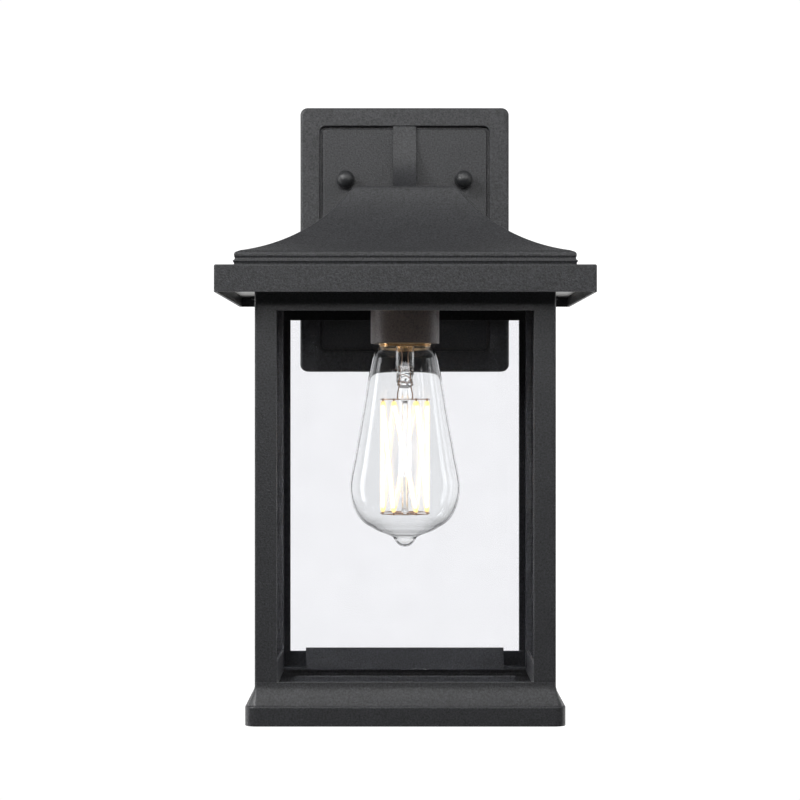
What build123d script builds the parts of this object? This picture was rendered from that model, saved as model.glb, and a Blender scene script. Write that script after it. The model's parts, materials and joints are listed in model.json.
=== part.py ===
from build123d import *
import math
import os

# Outdoor wall lantern. Millimetres, +Z up, +Y into the wall.
# The origin is on the wall plane, on the back face of the mounting crossbar,
# level with the two studs that carry the lantern.

# Body: the roof, cage and base are squares centred on this vertical axis.
AXIS_Y = -135.0

# Back plate
PLATE_W = 131.3
PLATE_TOP = 45.2
PLATE_BOTTOM = -120.8
PLATE_FRONT = -22.0
PLATE_BACK = -2.0
PLATE_WALL = 2.5
PLATE_CORNER_R = 4.6
PLATE_EDGE_R = 1.8
RIM_SIDE = 12.3
RIM_TOP = 11.7
RIM_BOTTOM = 12.7
RIM_CORNER_R = 3.9
RIM_EDGE_R = 0.7
GROOVE_W = 1.5
GROOVE_DEPTH = 3.0
PANEL_DEPTH = 1.6
PANEL_EDGE_R = 0.8
PLATE_INNER = PLATE_FRONT + GROOVE_DEPTH + PLATE_WALL
PANEL_FRONT = PLATE_FRONT + PANEL_DEPTH

# Wall side
GASKET_INSET = 1.0
GASKET_W = 5.0
GASKET_INNER_R = 1.0
BAR_HALF_W = 54.0
BAR_TOP = 8.0
BAR_BOTTOM = -18.0
BAR_T = 2.0
BAR_CORNER_R = 2.5
BAR_LIP = 5.0
BAR_LIP_T = 1.5
BAR_LIP_HALF = 50.0
BOX_SPACING_SMALL = 69.85
BOX_SPACING_LARGE = 88.9
SLOT_R = 2.4
SLOT_Z = -10.0
SLOT_SPACING = (BOX_SPACING_SMALL + BOX_SPACING_LARGE) / 2
SLOT_LENGTH = (BOX_SPACING_LARGE - BOX_SPACING_SMALL) / 2 + 2 * SLOT_R
CABLE_HOLE_R = 5.2
STUD_X = 37.0
STUD_R = 1.95
STUD_HOLE_R = 2.0
STUD_END = -28.4
STUD_CLEARANCE = 0.4
LOCKNUT_FLAT = 7.0
LOCKNUT_T = 3.2
GROUND_X = 22.0
GROUND_BAR_Z = -6.0
GROUND_PLATE_Z = -36.0
GROUND_BOSS_R = 4.0
GROUND_BOSS_END = -11.0
GROUND_BOSS_THREAD = 1.5
LUG_R = 3.6
LUG_T = 0.8
LUG_BARREL_NEAR = 3.4
LUG_BARREL_FAR = 9.0
LUG_BARREL_HALF_W = 1.7
LUG_BARREL_OUT = 3.2

# Ball nuts, which turn on the studs
WASHER_T = 1.0
WASHER_R = 5.6
NUT_BORE_R = 2.03
NUT_COLLAR_R = 3.9
BALL_R = 5.4
BALL_Y = -27.0
NUT_THREAD_SPARE = 1.0

# Arm
ARM_W = 14.4
ARM_TIP_Z = -18.2
ARM_UNDER_Z = -53.4
ARM_FOOT_Z = -57.0
CHANNEL_Z = -38.0
CHANNEL_R = 4.2
ARM_BUTT = 2.0
ARM_SCREW_Z = (-8.0, -50.0)
ARM_SCREW_END = -26.0
ARM_SCREW_R = 1.95
ARM_SCREW_HEAD_R = 3.6
ARM_SCREW_HEAD_T = 2.4
GROMMET_R = 6.2
GROMMET_FLANGE_R = 8.0
GROMMET_FLANGE_T = 1.2

# Roof bell: its slope is one arc, and the inside is the same arc moved in
BELL_TOP = -17.0
BELL_ARC_C = (109.2, 37.7)
BELL_ARC_R = 96.9
BELL_WALL = 2.0
BELL_ARC_END = 89.5
BELL_FOOT = 93.9
BELL_BOTTOM = -65.7
BELL_FOOT_TOP = -64.0
BELL_SEAM = 0.8
BELL_BOSS = 72.0
BOSS_R = 4.0
BOSS_TOP = -50.0
BOSS_THREAD_TOP = -57.0
BELL_SCREW_RADII = (37.0, 63.0)
BELL_SCREW_LENGTH = 6.5

# Fascia and soffit
FASCIA_HALF = 103.1
FASCIA_BOTTOM = -80.5
FASCIA_T = 1.5
FASCIA_CORNER_R = 1.2
FASCIA_EDGE_R = 0.9
FASCIA_OPENING = 62.0
FASCIA_OPENING_R = 5.0
SOFFIT_Z = -74.5
SOFFIT_T = 1.5
SOFFIT_SCREW = 92.0
SOFFIT_POST_R = 4.5
SOFFIT_GAP = 0.3

# Cage
CAGE_HALF = 82.4
CAGE_T = 2.0
CAGE_CORNER_R = 1.4
LEG_W = 12.2
WINDOW_TOP = -89.7
WINDOW_BOTTOM = -292.9
LUG_IN = 74.2
LUG_HOLE = 77.2
RING_FLANGE = 66.0
RING_FLANGE_R = 6.0
LEG_EDGE_R = 0.45
GLASS_T = 3.0
GLASS_CHAMFER = 0.3
GLASS_HALF = 73.9
GLASS_TOP = -77.5
GLASS_BOTTOM = -301.4

# Base
FLARE_TOP = -295.5
FLARE_BOTTOM = -305.0
FLARE_HALF = 86.0
SLAB_HALF = 87.6
SLAB_TOP = -305.7
SLAB_BOTTOM = -316.5
SLAB_EDGE_R = 0.8
SLAB_WALL = 2.0
SLAB_SKIN = 1.6
SLAB_INNER_R = 3.5
PAN_TOP = -302.6
PAN_T = 1.2
PAN_HALF = 80.2
PAN_OPENING = 73.9
TAB_TOP = -290.3
TAB_HALF_L = 60.5
SEAL_BOTTOM = -300.0
SEAL_TOP = -294.0

# Lampholder
CUP_R = 19.95
CUP_BOTTOM = -105.9
CUP_TOP = -61.5
CUP_T = 1.0
CUP_CROWN_T = 1.2
BRIDGE_TOP = -60.0
BRIDGE_T = 1.5
BRIDGE_HALF_W = 9.0
BRIDGE_LEG = 27.0
BRIDGE_FOOT = 38.0
BRIDGE_SCREW = 32.5
NIPPLE_R = 4.85
NIPPLE_BORE_R = 3.6
NIPPLE_TOP = -52.0
NIPPLE_BOTTOM = -67.0
NIPPLE_NUT_FLAT = 14.0
NIPPLE_NUT_T = 3.0
BUSH_R = 5.6
BUSH_BORE_R = 3.0
BUSH_TOP = -50.2
SOCKET_R = 18.6
SOCKET_BOTTOM = -104.6
SOCKET_FLOOR = -79.5
SOCKET_RECESS_R = 9.5
SOCKET_RECESS_FLOOR = -74.0
TERMINAL_X = {-1: -3.6, 1: 8.2}
SHELL_R = 14.5
SHELL_T = 0.5
SHELL_BOTTOM = -101.5
SHELL_RIB_R = 13.45
SHELL_FLOOR_HOLE_R = 6.5
SOCKET_SCREW_Y = 11.2
SOCKET_SCREW_R = 1.5

# Lamp: pear-shaped glass on a 26 mm screw cap
LAMP_R = 32.0
LAMP_NECK_Z = -107.8
LAMP_GLASS_T = 0.9
CAP_RIB_R = 13.1
CAP_ROOT_R = 12.75
CAP_BORE_R = 12.4
CAP_PITCH = 3.629
CAP_THREAD_TOP = -86.0
CAP_TURNS = 5
CONTACT_TOP = -81.3
CONTACT_R = 4.5
INSULATOR_TOP = -82.2
INSULATOR_BOTTOM = -84.2
INSULATOR_R = 8.2
BOARD_BOTTOM = -94.0
BOARD_TOP = -92.8
STEM_TOP = -98.5
STEM_R = 5.5
STEM_BORE_R = 4.4
PINCH_TOP = -122.0
PINCH_BOTTOM = -131.5
PINCH_SIZE = (8.6, 4.4)
STEM_ROD_R = 1.3
LEAD_X = 2.2
LEAD_R = 0.3
RING_UPPER_Z = -138.3
RING_LOWER_Z = -204.7
RING_R = 14.3
RING_WIRE_R = 0.35
FILAMENT_CAP = 0.8
FILAMENTS = 8
FILAMENT_R = 1.1
FILAMENT_STAGGER = 4.5
NUB_R = 5.9
NUB_TOP = -220.3
NUB_BOTTOM = -223.79
NUB_TIP_R = 1.2

# Wires
WIRE_R = 1.1
WIRE_X = 1.5
WIRE_Y_CAVITY = -9.0
CONNECTOR_X = 8.0
CONNECTOR_TOP = -60.0
CONNECTOR_BOTTOM = -82.0
CONNECTOR_GRIP = 7.0

# Small screws
SCREW_R = 1.7
SCREW_HOLE_R = 1.75
SCREW_PASS_R = 2.1
HEAD_R = 3.3
HEAD_T = 2.1

# Running gap in holes that a piece just fills
FIT_GAP = 0.05

CORNERS = [(sx, sy) for sx in (-1, 1) for sy in (-1, 1)]
SIDE_NAMES = {"front": 0, "right": 90, "rear": 180, "left": 270}


# ---- helpers ----

def block(x0, x1, y0, y1, z0, z1):
    """Box between two opposite corners."""
    centre = Pos((x0 + x1) / 2, (y0 + y1) / 2, (z0 + z1) / 2)
    return centre * Box(abs(x1 - x0), abs(y1 - y0), abs(z1 - z0))


def rod_z(radius, z0, z1, x=0.0, y=AXIS_Y):
    """Upright cylinder between two heights."""
    return Pos(x, y, (z0 + z1) / 2) * Cylinder(radius, abs(z1 - z0))


def rod_y(radius, y0, y1, x=0.0, z=0.0):
    """Cylinder square to the wall."""
    return Pos(x, (y0 + y1) / 2, z) * Rot(90, 0, 0) * Cylinder(radius, abs(y1 - y0))


def square(half, z0, z1, corner_r=0.0):
    """Upright square prism on the body axis."""
    if corner_r:
        outline = RectangleRounded(2 * half, 2 * half, corner_r)
    else:
        outline = Rectangle(2 * half, 2 * half)
    return Pos(0, AXIS_Y, min(z0, z1)) * extrude(outline, amount=abs(z1 - z0))


def facing(width, height, corner_r, y_back, y_front, z_mid):
    """Rounded rectangle parallel to the wall, between two distances from it."""
    outline = RectangleRounded(width, height, corner_r)
    return Pos(0, y_back, z_mid) * Rot(90, 0, 0) * extrude(outline, amount=y_back - y_front)


def spun(*edges):
    """Solid of revolution about the body axis from a closed outline in (radius, z)."""
    face = make_face(Wire(list(edges)))
    solid = revolve(Rot(90, 0, 0) * face, axis=Axis.Z, revolution_arc=360)
    return Pos(0, AXIS_Y, 0) * solid


def outline(points):
    """Closed straight-sided outline as edges."""
    return Polyline(*points, close=True).edges()


def on_corners(offset, make):
    """The same piece at the four corners of a square on the body axis."""
    return [make(sx * offset, AXIS_Y + sy * offset) for sx, sy in CORNERS]


def turned(solid, angle):
    """Solid turned about the body axis."""
    return Pos(0, AXIS_Y, 0) * Rot(0, 0, angle) * Pos(0, -AXIS_Y, 0) * solid


def hex_nut_y(flat, hole_r, y0, y1, x, z):
    """Hexagon nut whose axis is square to the wall."""
    nut = extrude(RegularPolygon(flat / 2, 6, major_radius=False), amount=y1 - y0)
    return Pos(x, y1, z) * Rot(90, 0, 0) * nut - rod_y(hole_r, y0, y1, x, z)


def hex_nut_z(flat, hole_r, z0, z1):
    """Hexagon nut on the body axis."""
    nut = extrude(RegularPolygon(flat / 2, 6, major_radius=False), amount=z1 - z0)
    return Pos(0, AXIS_Y, z0) * nut - rod_z(hole_r, z0, z1)


def pan_screw(shank_r, head_r, head_t, length):
    """Pan-head screw along +Z, its head's underside at the origin."""
    head = Pos(0, 0, -head_t / 2) * Cylinder(head_r, head_t)
    head = fillet(head.edges().sort_by(Axis.Z)[:1], head_t * 0.45)
    slot = Pos(0, 0, -head_t) * Box(0.7, head_r * 1.5, head_t * 0.8)
    cross = Pos(0, 0, -head_t) * Box(head_r * 1.5, 0.7, head_t * 0.8)
    shank = Pos(0, 0, length / 2) * Cylinder(shank_r, length)
    return head + shank - slot - cross


def wire(points, radii, radius=WIRE_R):
    """Round wire along straight runs joined by tangent arcs."""
    path = FilletPolyline(*points, radius=radii)
    section = Plane(origin=path @ 0, z_dir=path % 0) * Circle(radius)
    return sweep(section, path=path)


def save(name, *solids):
    """Write one node; several solids are kept apart inside it."""
    parts = []
    for solid in solids:
        parts.extend(solid if isinstance(solid, list) else [solid])
    shape = parts[0] if len(parts) == 1 else Compound(children=parts)
    export_step(shape, f"parts/{name}.step")


# ---- wall side ----

def back_plate():
    """Pressed pan: raised rim, groove, inset panel."""
    height = PLATE_TOP - PLATE_BOTTOM
    middle = (PLATE_TOP + PLATE_BOTTOM) / 2
    body = facing(PLATE_W, height, PLATE_CORNER_R, PLATE_BACK, PLATE_FRONT, middle)
    body = fillet(body.edges().group_by(Axis.Y)[0], PLATE_EDGE_R)
    inner_w = PLATE_W - 2 * RIM_SIDE
    inner_h = height - RIM_TOP - RIM_BOTTOM
    inner_z = (PLATE_TOP - RIM_TOP + PLATE_BOTTOM + RIM_BOTTOM) / 2
    floor = PLATE_FRONT + GROOVE_DEPTH
    body -= facing(inner_w, inner_h, RIM_CORNER_R, floor, PLATE_FRONT, inner_z)
    rim_edges = body.faces().sort_by(Axis.Y)[0].inner_wires()[0].edges()
    body = fillet(rim_edges, RIM_EDGE_R)
    panel = facing(inner_w - 2 * GROOVE_W, inner_h - 2 * GROOVE_W, RIM_CORNER_R - GROOVE_W,
                   floor, PANEL_FRONT, inner_z)
    panel = fillet(panel.edges().group_by(Axis.Y)[0], PANEL_EDGE_R)
    body += panel
    hollow = facing(PLATE_W - 2 * PLATE_WALL, height - 2 * PLATE_WALL,
                    PLATE_CORNER_R - PLATE_WALL, PLATE_BACK, PLATE_INNER, middle)
    body -= hollow
    body += rod_y(GROUND_BOSS_R, PLATE_INNER, GROUND_BOSS_END, GROUND_X, GROUND_PLATE_Z)
    body -= rod_y(SCREW_HOLE_R, PLATE_INNER - GROUND_BOSS_THREAD, GROUND_BOSS_END,
                  GROUND_X, GROUND_PLATE_Z)
    for side in (-1, 1):
        body -= rod_y(STUD_R + STUD_CLEARANCE, PLATE_FRONT, PLATE_BACK, side * STUD_X, 0)
    for z in ARM_SCREW_Z:
        body -= rod_y(ARM_SCREW_R + 0.2, PLATE_FRONT, PLATE_BACK, 0, z)
    body -= rod_y(GROMMET_R, PLATE_FRONT, PLATE_BACK, 0, CHANNEL_Z)
    return body


def wall_gasket():
    """Foam ring that seals the plate to the wall."""
    height = PLATE_TOP - PLATE_BOTTOM - 2 * GASKET_INSET
    width = PLATE_W - 2 * GASKET_INSET
    middle = (PLATE_TOP + PLATE_BOTTOM) / 2
    ring = facing(width, height, PLATE_CORNER_R - GASKET_INSET, 0, PLATE_BACK, middle)
    hole = facing(width - 2 * GASKET_W, height - 2 * GASKET_W, GASKET_INNER_R,
                  0, PLATE_BACK, middle)
    return ring - hole


def crossbar():
    """Slotted strap that the wall box's two screws hold."""
    middle = (BAR_TOP + BAR_BOTTOM) / 2
    bar = facing(2 * BAR_HALF_W, BAR_TOP - BAR_BOTTOM, BAR_CORNER_R, 0, -BAR_T, middle)
    for z in (BAR_TOP - BAR_LIP_T, BAR_BOTTOM):
        bar += block(-BAR_LIP_HALF, BAR_LIP_HALF, -BAR_T - BAR_LIP, -BAR_T, z, z + BAR_LIP_T)
    slot = Rot(90, 0, 0) * extrude(SlotOverall(SLOT_LENGTH, 2 * SLOT_R), amount=BAR_T + 2)
    for side in (-1, 1):
        bar -= Pos(side * SLOT_SPACING / 2, 1, SLOT_Z) * slot
        bar -= rod_y(STUD_HOLE_R, 0, -BAR_T, side * STUD_X, 0)
    bar -= rod_y(CABLE_HOLE_R, 0, -BAR_T, 0, SLOT_Z)
    bar -= rod_y(SCREW_HOLE_R, 0, -BAR_T, GROUND_X, GROUND_BAR_Z)
    notch = WIRE_R + 2.0
    return bar - block(GROUND_X - notch, GROUND_X + notch, -BAR_T - BAR_LIP, -BAR_T,
                       BAR_BOTTOM, BAR_BOTTOM + BAR_LIP_T)


def mounting_studs():
    """Headless studs screwed into the crossbar."""
    studs = []
    for side in (-1, 1):
        stud = rod_y(STUD_R, STUD_END, 0, side * STUD_X, 0)
        studs.append(chamfer(stud.edges().group_by(Axis.Y)[0], 0.4))
    return studs


def crossbar_locknuts():
    """Hexagon nuts that lock the studs to the crossbar."""
    return [hex_nut_y(LOCKNUT_FLAT, STUD_HOLE_R, -BAR_T - LOCKNUT_T, -BAR_T, side * STUD_X, 0)
            for side in (-1, 1)]


def cap_washer(side):
    """Sealing washer that travels with its ball nut but doesn't turn."""
    x = side * STUD_X
    washer = rod_y(WASHER_R, PANEL_FRONT - WASHER_T, PANEL_FRONT, x, 0)
    return washer - rod_y(STUD_R + STUD_CLEARANCE, PANEL_FRONT - WASHER_T, PANEL_FRONT, x, 0)


def cap_nut(side):
    """Ball nut: collar and ball with a blind thread."""
    x = side * STUD_X
    seat = PANEL_FRONT - WASHER_T
    nut = rod_y(NUT_COLLAR_R, BALL_Y, seat, x, 0)
    nut += Pos(x, BALL_Y, 0) * Sphere(BALL_R)
    nut -= rod_y(NUT_BORE_R, STUD_END - NUT_THREAD_SPARE, seat, x, 0)
    nut -= rod_y(BALL_R, seat, seat + 2.0, x, 0)
    return nut


def ground_lug(y_face, z, direction):
    """Ring terminal: ring on a screw, barrel pointing up (+1) or down (-1)."""
    ring = rod_y(LUG_R, y_face - LUG_T, y_face, GROUND_X, z)
    near, far = z + direction * LUG_BARREL_NEAR, z + direction * LUG_BARREL_FAR
    barrel = block(GROUND_X - LUG_BARREL_HALF_W, GROUND_X + LUG_BARREL_HALF_W,
                   y_face - LUG_BARREL_OUT, y_face, near, far)
    lug = ring + barrel
    lug -= rod_y(SCREW_HOLE_R, y_face - LUG_T, y_face, GROUND_X, z)
    lug -= rod_z(WIRE_R + FIT_GAP, near, far, GROUND_X, y_face - LUG_BARREL_OUT / 2)
    return lug


def ground_lug_on_plate():
    """Ring terminal on the plate's boss, facing the wall."""
    lug = ground_lug(0.0, GROUND_PLATE_Z, 1)
    return Pos(0, GROUND_BOSS_END, 0) * mirror(lug, about=Plane.XZ)


def ground_screws():
    """Screws of the two earth points, as (crossbar screw, plate screw)."""
    facing_wall = Rot(-90, 0, 0)
    bar = Pos(GROUND_X, -BAR_T - LUG_T, GROUND_BAR_Z) * facing_wall * pan_screw(
        SCREW_R, HEAD_R, HEAD_T, BAR_T + LUG_T)
    outward = Rot(90, 0, 0)
    plate = Pos(GROUND_X, GROUND_BOSS_END + LUG_T, GROUND_PLATE_Z) * outward * pan_screw(
        SCREW_R, HEAD_R, HEAD_T, 6.8)
    return bar, plate


# ---- roof ----

def bell_radius(z, wall=0.0):
    """Half-size of the bell's slope at a height, outside or moved in by the wall."""
    rise = z - BELL_ARC_C[1]
    return BELL_ARC_C[0] - math.sqrt((BELL_ARC_R + wall) ** 2 - rise ** 2)


def bell_height(radius, wall=0.0):
    """Height of the bell's slope at a half-size."""
    run = radius - BELL_ARC_C[0]
    return BELL_ARC_C[1] - math.sqrt((BELL_ARC_R + wall) ** 2 - run ** 2)


def bell_block(right_half):
    """Four-sided solid from the right half of its outline, mitred at the hips."""
    half = Wire(list(right_half))
    face = make_face(half)
    face = face + mirror(face, about=Plane.YZ)
    prism = extrude(Rot(90, 0, 0) * face, amount=FASCIA_HALF, both=True)
    return Pos(0, AXIS_Y, 0) * (prism & (Rot(0, 0, 90) * prism))


def bell_outside():
    """The bell's outer form, solid."""
    start = (bell_radius(BELL_TOP), BELL_TOP)
    middle = (bell_radius(-38.0), -38.0)
    end = (BELL_ARC_END, bell_height(BELL_ARC_END))
    nose = (92.9, -59.8)
    bead = (93.3, -63.2)
    return bell_block([
        Line((0, BELL_TOP), start),
        ThreePointArc(start, middle, end),
        ThreePointArc(end, (91.9, -58.1), nose),
        ThreePointArc(nose, (92.3, -61.6), bead),
        ThreePointArc(bead, (93.75, -63.45), (BELL_FOOT, BELL_FOOT_TOP)),
        Line((BELL_FOOT, BELL_FOOT_TOP), (BELL_FOOT, BELL_BOTTOM + BELL_SEAM)),
        Line((BELL_FOOT, BELL_BOTTOM + BELL_SEAM), (BELL_FOOT - BELL_SEAM, BELL_BOTTOM)),
        Line((BELL_FOOT - BELL_SEAM, BELL_BOTTOM), (0, BELL_BOTTOM)),
        Line((0, BELL_BOTTOM), (0, BELL_TOP)),
    ])


def bell_inside():
    """The hollow of the bell."""
    top = BELL_TOP - BELL_WALL
    start = (bell_radius(top, BELL_WALL), top)
    middle = (bell_radius(-40.0, BELL_WALL), -40.0)
    end = (BELL_ARC_END - 1.4, bell_height(BELL_ARC_END - 1.4, BELL_WALL))
    wall = BELL_FOOT - 2 * BELL_WALL
    return bell_block([
        Line((0, top), start),
        ThreePointArc(start, middle, end),
        Line(end, (wall, end[1] - BELL_WALL)),
        Line((wall, end[1] - BELL_WALL), (wall, BELL_BOTTOM)),
        Line((wall, BELL_BOTTOM), (0, BELL_BOTTOM)),
        Line((0, BELL_BOTTOM), (0, top)),
    ])


def slope_frame(radius, depth):
    """Plane on the rear slope at a half-size, moved in by depth, facing out."""
    z = bell_height(radius)
    out = Vector(0, BELL_ARC_C[0] - radius, BELL_ARC_C[1] - z).normalized()
    place = Vector(0, AXIS_Y + radius, z) - out * depth
    return Plane(origin=place, x_dir=(1, 0, 0), z_dir=out)


def roof_bell(outside, inside):
    """Hollow bell with four screw bosses and the arm's holes."""
    bell = outside - inside
    for boss in on_corners(BELL_BOSS, lambda x, y: rod_z(BOSS_R, BELL_BOTTOM, BOSS_TOP, x, y)):
        bell += boss & outside
    for hole in on_corners(BELL_BOSS, lambda x, y: rod_z(
            SCREW_HOLE_R, BELL_BOTTOM, BOSS_THREAD_TOP, x, y)):
        bell -= hole
    channel_start = AXIS_Y + bell_radius(CHANNEL_Z) - 20
    bell -= rod_y(CHANNEL_R, channel_start, channel_start + 40, 0, CHANNEL_Z)
    for radius in BELL_SCREW_RADII:
        bell -= slope_frame(radius, BELL_WALL + 3) * (Pos(0, 0, 4) * Cylinder(SCREW_HOLE_R, 8))
    return bell


def arm_roof_screws():
    """Screws from inside the bell into the arm."""
    return [slope_frame(r, BELL_WALL) * pan_screw(SCREW_R, HEAD_R, HEAD_T, BELL_SCREW_LENGTH)
            for r in BELL_SCREW_RADII]


def support_arm(plate, outside):
    """Strap on the plate that swells into the arm under the roof, with a wire channel."""
    strap_top = PLATE_TOP - RIM_TOP
    tip = (AXIS_Y + bell_radius(ARM_TIP_Z) - ARM_BUTT, ARM_TIP_Z)
    under = (AXIS_Y + bell_radius(ARM_UNDER_Z) - ARM_BUTT, ARM_UNDER_Z)
    foot = (PLATE_FRONT, ARM_FOOT_Z)
    inner_y = tip[0] - 2 * ARM_BUTT
    root_y = PLATE_FRONT + 5
    sweep_line = Spline((PLATE_FRONT, strap_top), tip, tangents=[(0, -1), (-1, 0.02)])
    side = Wire([
        Line((root_y, strap_top), (PLATE_FRONT, strap_top)),
        sweep_line,
        Line(tip, (inner_y, ARM_TIP_Z)),
        Line((inner_y, ARM_TIP_Z), (inner_y, ARM_UNDER_Z)),
        Line((inner_y, ARM_UNDER_Z), under),
        Line(under, foot),
        Line(foot, (root_y, ARM_FOOT_Z)),
        Line((root_y, ARM_FOOT_Z), (root_y, strap_top)),
    ])
    face = make_face(side)
    arm = extrude(Rot(0, 90, 0) * Rot(0, 0, 90) * face, amount=ARM_W / 2, both=True)
    arm -= plate
    arm -= outside
    groove_z = strap_top - GROOVE_W
    arm -= block(-ARM_W, ARM_W, PANEL_FRONT, PLATE_BACK, ARM_FOOT_Z - 1, groove_z)
    arm -= rod_y(CHANNEL_R, AXIS_Y, PANEL_FRONT + 1, 0, CHANNEL_Z)
    for z in ARM_SCREW_Z:
        arm -= rod_y(ARM_SCREW_R + 0.05, ARM_SCREW_END - 1, PANEL_FRONT + 1, 0, z)
    depth = BELL_SCREW_LENGTH - BELL_WALL + 0.5
    for radius in BELL_SCREW_RADII:
        arm -= slope_frame(radius, 0.5) * (Pos(0, 0, depth / 2) * Cylinder(SCREW_HOLE_R, depth + 1))
    return arm


def arm_plate_screws():
    """Screws from inside the plate into the arm."""
    outward = Rot(90, 0, 0)
    length = PLATE_INNER - ARM_SCREW_END
    screw = pan_screw(ARM_SCREW_R, ARM_SCREW_HEAD_R, ARM_SCREW_HEAD_T, length)
    return [Pos(0, PLATE_INNER, z) * outward * screw for z in ARM_SCREW_Z]


def arm_grommet():
    """Bush where the wires pass from the arm into the plate."""
    body = rod_y(GROMMET_R, PANEL_FRONT, PLATE_INNER, 0, CHANNEL_Z)
    flange_y = PLATE_INNER + GROMMET_FLANGE_T
    body += rod_y(GROMMET_FLANGE_R, PLATE_INNER, flange_y, 0, CHANNEL_Z)
    return body - rod_y(CHANNEL_R, PANEL_FRONT, flange_y, 0, CHANNEL_Z)


def roof_fascia():
    """Square tray with a deep skirt; standoffs carry the soffit plate."""
    skin = BELL_BOTTOM - FASCIA_T
    tray = square(FASCIA_HALF, FASCIA_BOTTOM, BELL_BOTTOM, FASCIA_CORNER_R)
    tray = fillet(tray.edges().group_by(Axis.Z)[-1], FASCIA_EDGE_R)
    tray -= square(FASCIA_HALF - FASCIA_T, FASCIA_BOTTOM, skin)
    tray -= square(FASCIA_OPENING, skin, BELL_BOTTOM, FASCIA_OPENING_R)
    bottom = SOFFIT_Z + SOFFIT_T
    for post in on_corners(SOFFIT_SCREW, lambda x, y: rod_z(SOFFIT_POST_R, bottom, skin, x, y)):
        tray += post
    for hole in on_corners(SOFFIT_SCREW, lambda x, y: rod_z(SCREW_HOLE_R, bottom, skin, x, y)):
        tray -= hole
    for hole in on_corners(BELL_BOSS, lambda x, y: rod_z(SCREW_PASS_R, skin, BELL_BOTTOM, x, y)):
        tray -= hole
    return tray


def screws_up(offset, head_z, length):
    """Four screws pointing up, heads below the given height."""
    return on_corners(offset, lambda x, y: Pos(x, y, head_z) * pan_screw(
        SCREW_R, HEAD_R, HEAD_T, length))


def soffit_plate():
    """Flat plate under the roof, with the lampholder's hole."""
    top = SOFFIT_Z + SOFFIT_T
    plate = square(FASCIA_HALF - FASCIA_T - SOFFIT_GAP, SOFFIT_Z, top)
    plate -= rod_z(CUP_R + 2 * SOFFIT_GAP, SOFFIT_Z, top)
    for offset in (SOFFIT_SCREW, LUG_HOLE):
        for hole in on_corners(offset, lambda x, y: rod_z(SCREW_PASS_R, SOFFIT_Z, top, x, y)):
            plate -= hole
    for x in (-BRIDGE_SCREW, BRIDGE_SCREW):
        plate -= rod_z(SCREW_PASS_R, SOFFIT_Z, top, x)
    return plate


# ---- cage ----

def corner_lugs(z0, z1, hole_r):
    """Square lugs inside the four cage corners, with an upright hole each."""
    size = CAGE_HALF - CAGE_T - LUG_IN + 0.5
    lugs = []
    for sx, sy in CORNERS:
        x, y = sx * (LUG_IN + size / 2), AXIS_Y + sy * (LUG_IN + size / 2)
        lug = Pos(x, y, (z0 + z1) / 2) * Box(size, size, abs(z1 - z0))
        lugs.append(lug - rod_z(hole_r, z0, z1, sx * LUG_HOLE, AXIS_Y + sy * LUG_HOLE))
    return lugs


def cage_top_ring():
    """Band above the windows with an inward flange under the soffit."""
    ring = square(CAGE_HALF, WINDOW_TOP, SOFFIT_Z, CAGE_CORNER_R)
    ring -= square(CAGE_HALF - CAGE_T, WINDOW_TOP, SOFFIT_Z - CAGE_T)
    for lug in corner_lugs(WINDOW_TOP, SOFFIT_Z - CAGE_T, SCREW_PASS_R):
        ring += lug
    ring -= square(RING_FLANGE, SOFFIT_Z - CAGE_T, SOFFIT_Z, RING_FLANGE_R)
    for hole in on_corners(LUG_HOLE, lambda x, y: rod_z(SCREW_PASS_R, WINDOW_TOP, SOFFIT_Z, x, y)):
        ring -= hole
    return ring


def corner_post(sx, sy):
    """L-section post with a screw port in its inside corner."""
    x, y = sx * CAGE_HALF, AXIS_Y + sy * CAGE_HALF
    low, high = WINDOW_BOTTOM, WINDOW_TOP
    tube = square(CAGE_HALF, low, high, CAGE_CORNER_R) - square(CAGE_HALF - CAGE_T, low, high)
    legs = tube & Pos(x - sx * LEG_W / 2, y - sy * LEG_W / 2, (low + high) / 2) * Box(
        LEG_W, LEG_W, high - low)
    upright = [e for e in legs.edges().filter_by(Axis.Z)
               if abs(e.center().X * sx - (CAGE_HALF - LEG_W)) < 0.01
               or abs((e.center().Y - AXIS_Y) * sy - (CAGE_HALF - LEG_W)) < 0.01]
    legs = fillet(upright, LEG_EDGE_R)
    port = corner_lugs(low, high, SCREW_HOLE_R)[CORNERS.index((sx, sy))]
    post = legs + port
    return post - rod_z(SCREW_HOLE_R, low, high, sx * LUG_HOLE, AXIS_Y + sy * LUG_HOLE)


def glass_pane(angle):
    """Clear pane behind one side of the cage."""
    outer = CAGE_HALF - CAGE_T
    front = AXIS_Y - outer
    pane = block(-GLASS_HALF, GLASS_HALF, front, front + GLASS_T, GLASS_BOTTOM, GLASS_TOP)
    pane = chamfer(pane.edges().filter_by(Axis.Z), GLASS_CHAMFER)
    return turned(pane, angle)


def glass_strips(inner, thickness, z0, z1, half_length):
    """Rubber strips, one along each side."""
    strip = block(-half_length, half_length, AXIS_Y - inner - thickness, AXIS_Y - inner, z0, z1)
    return [turned(strip, angle) for angle in SIDE_NAMES.values()]


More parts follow.
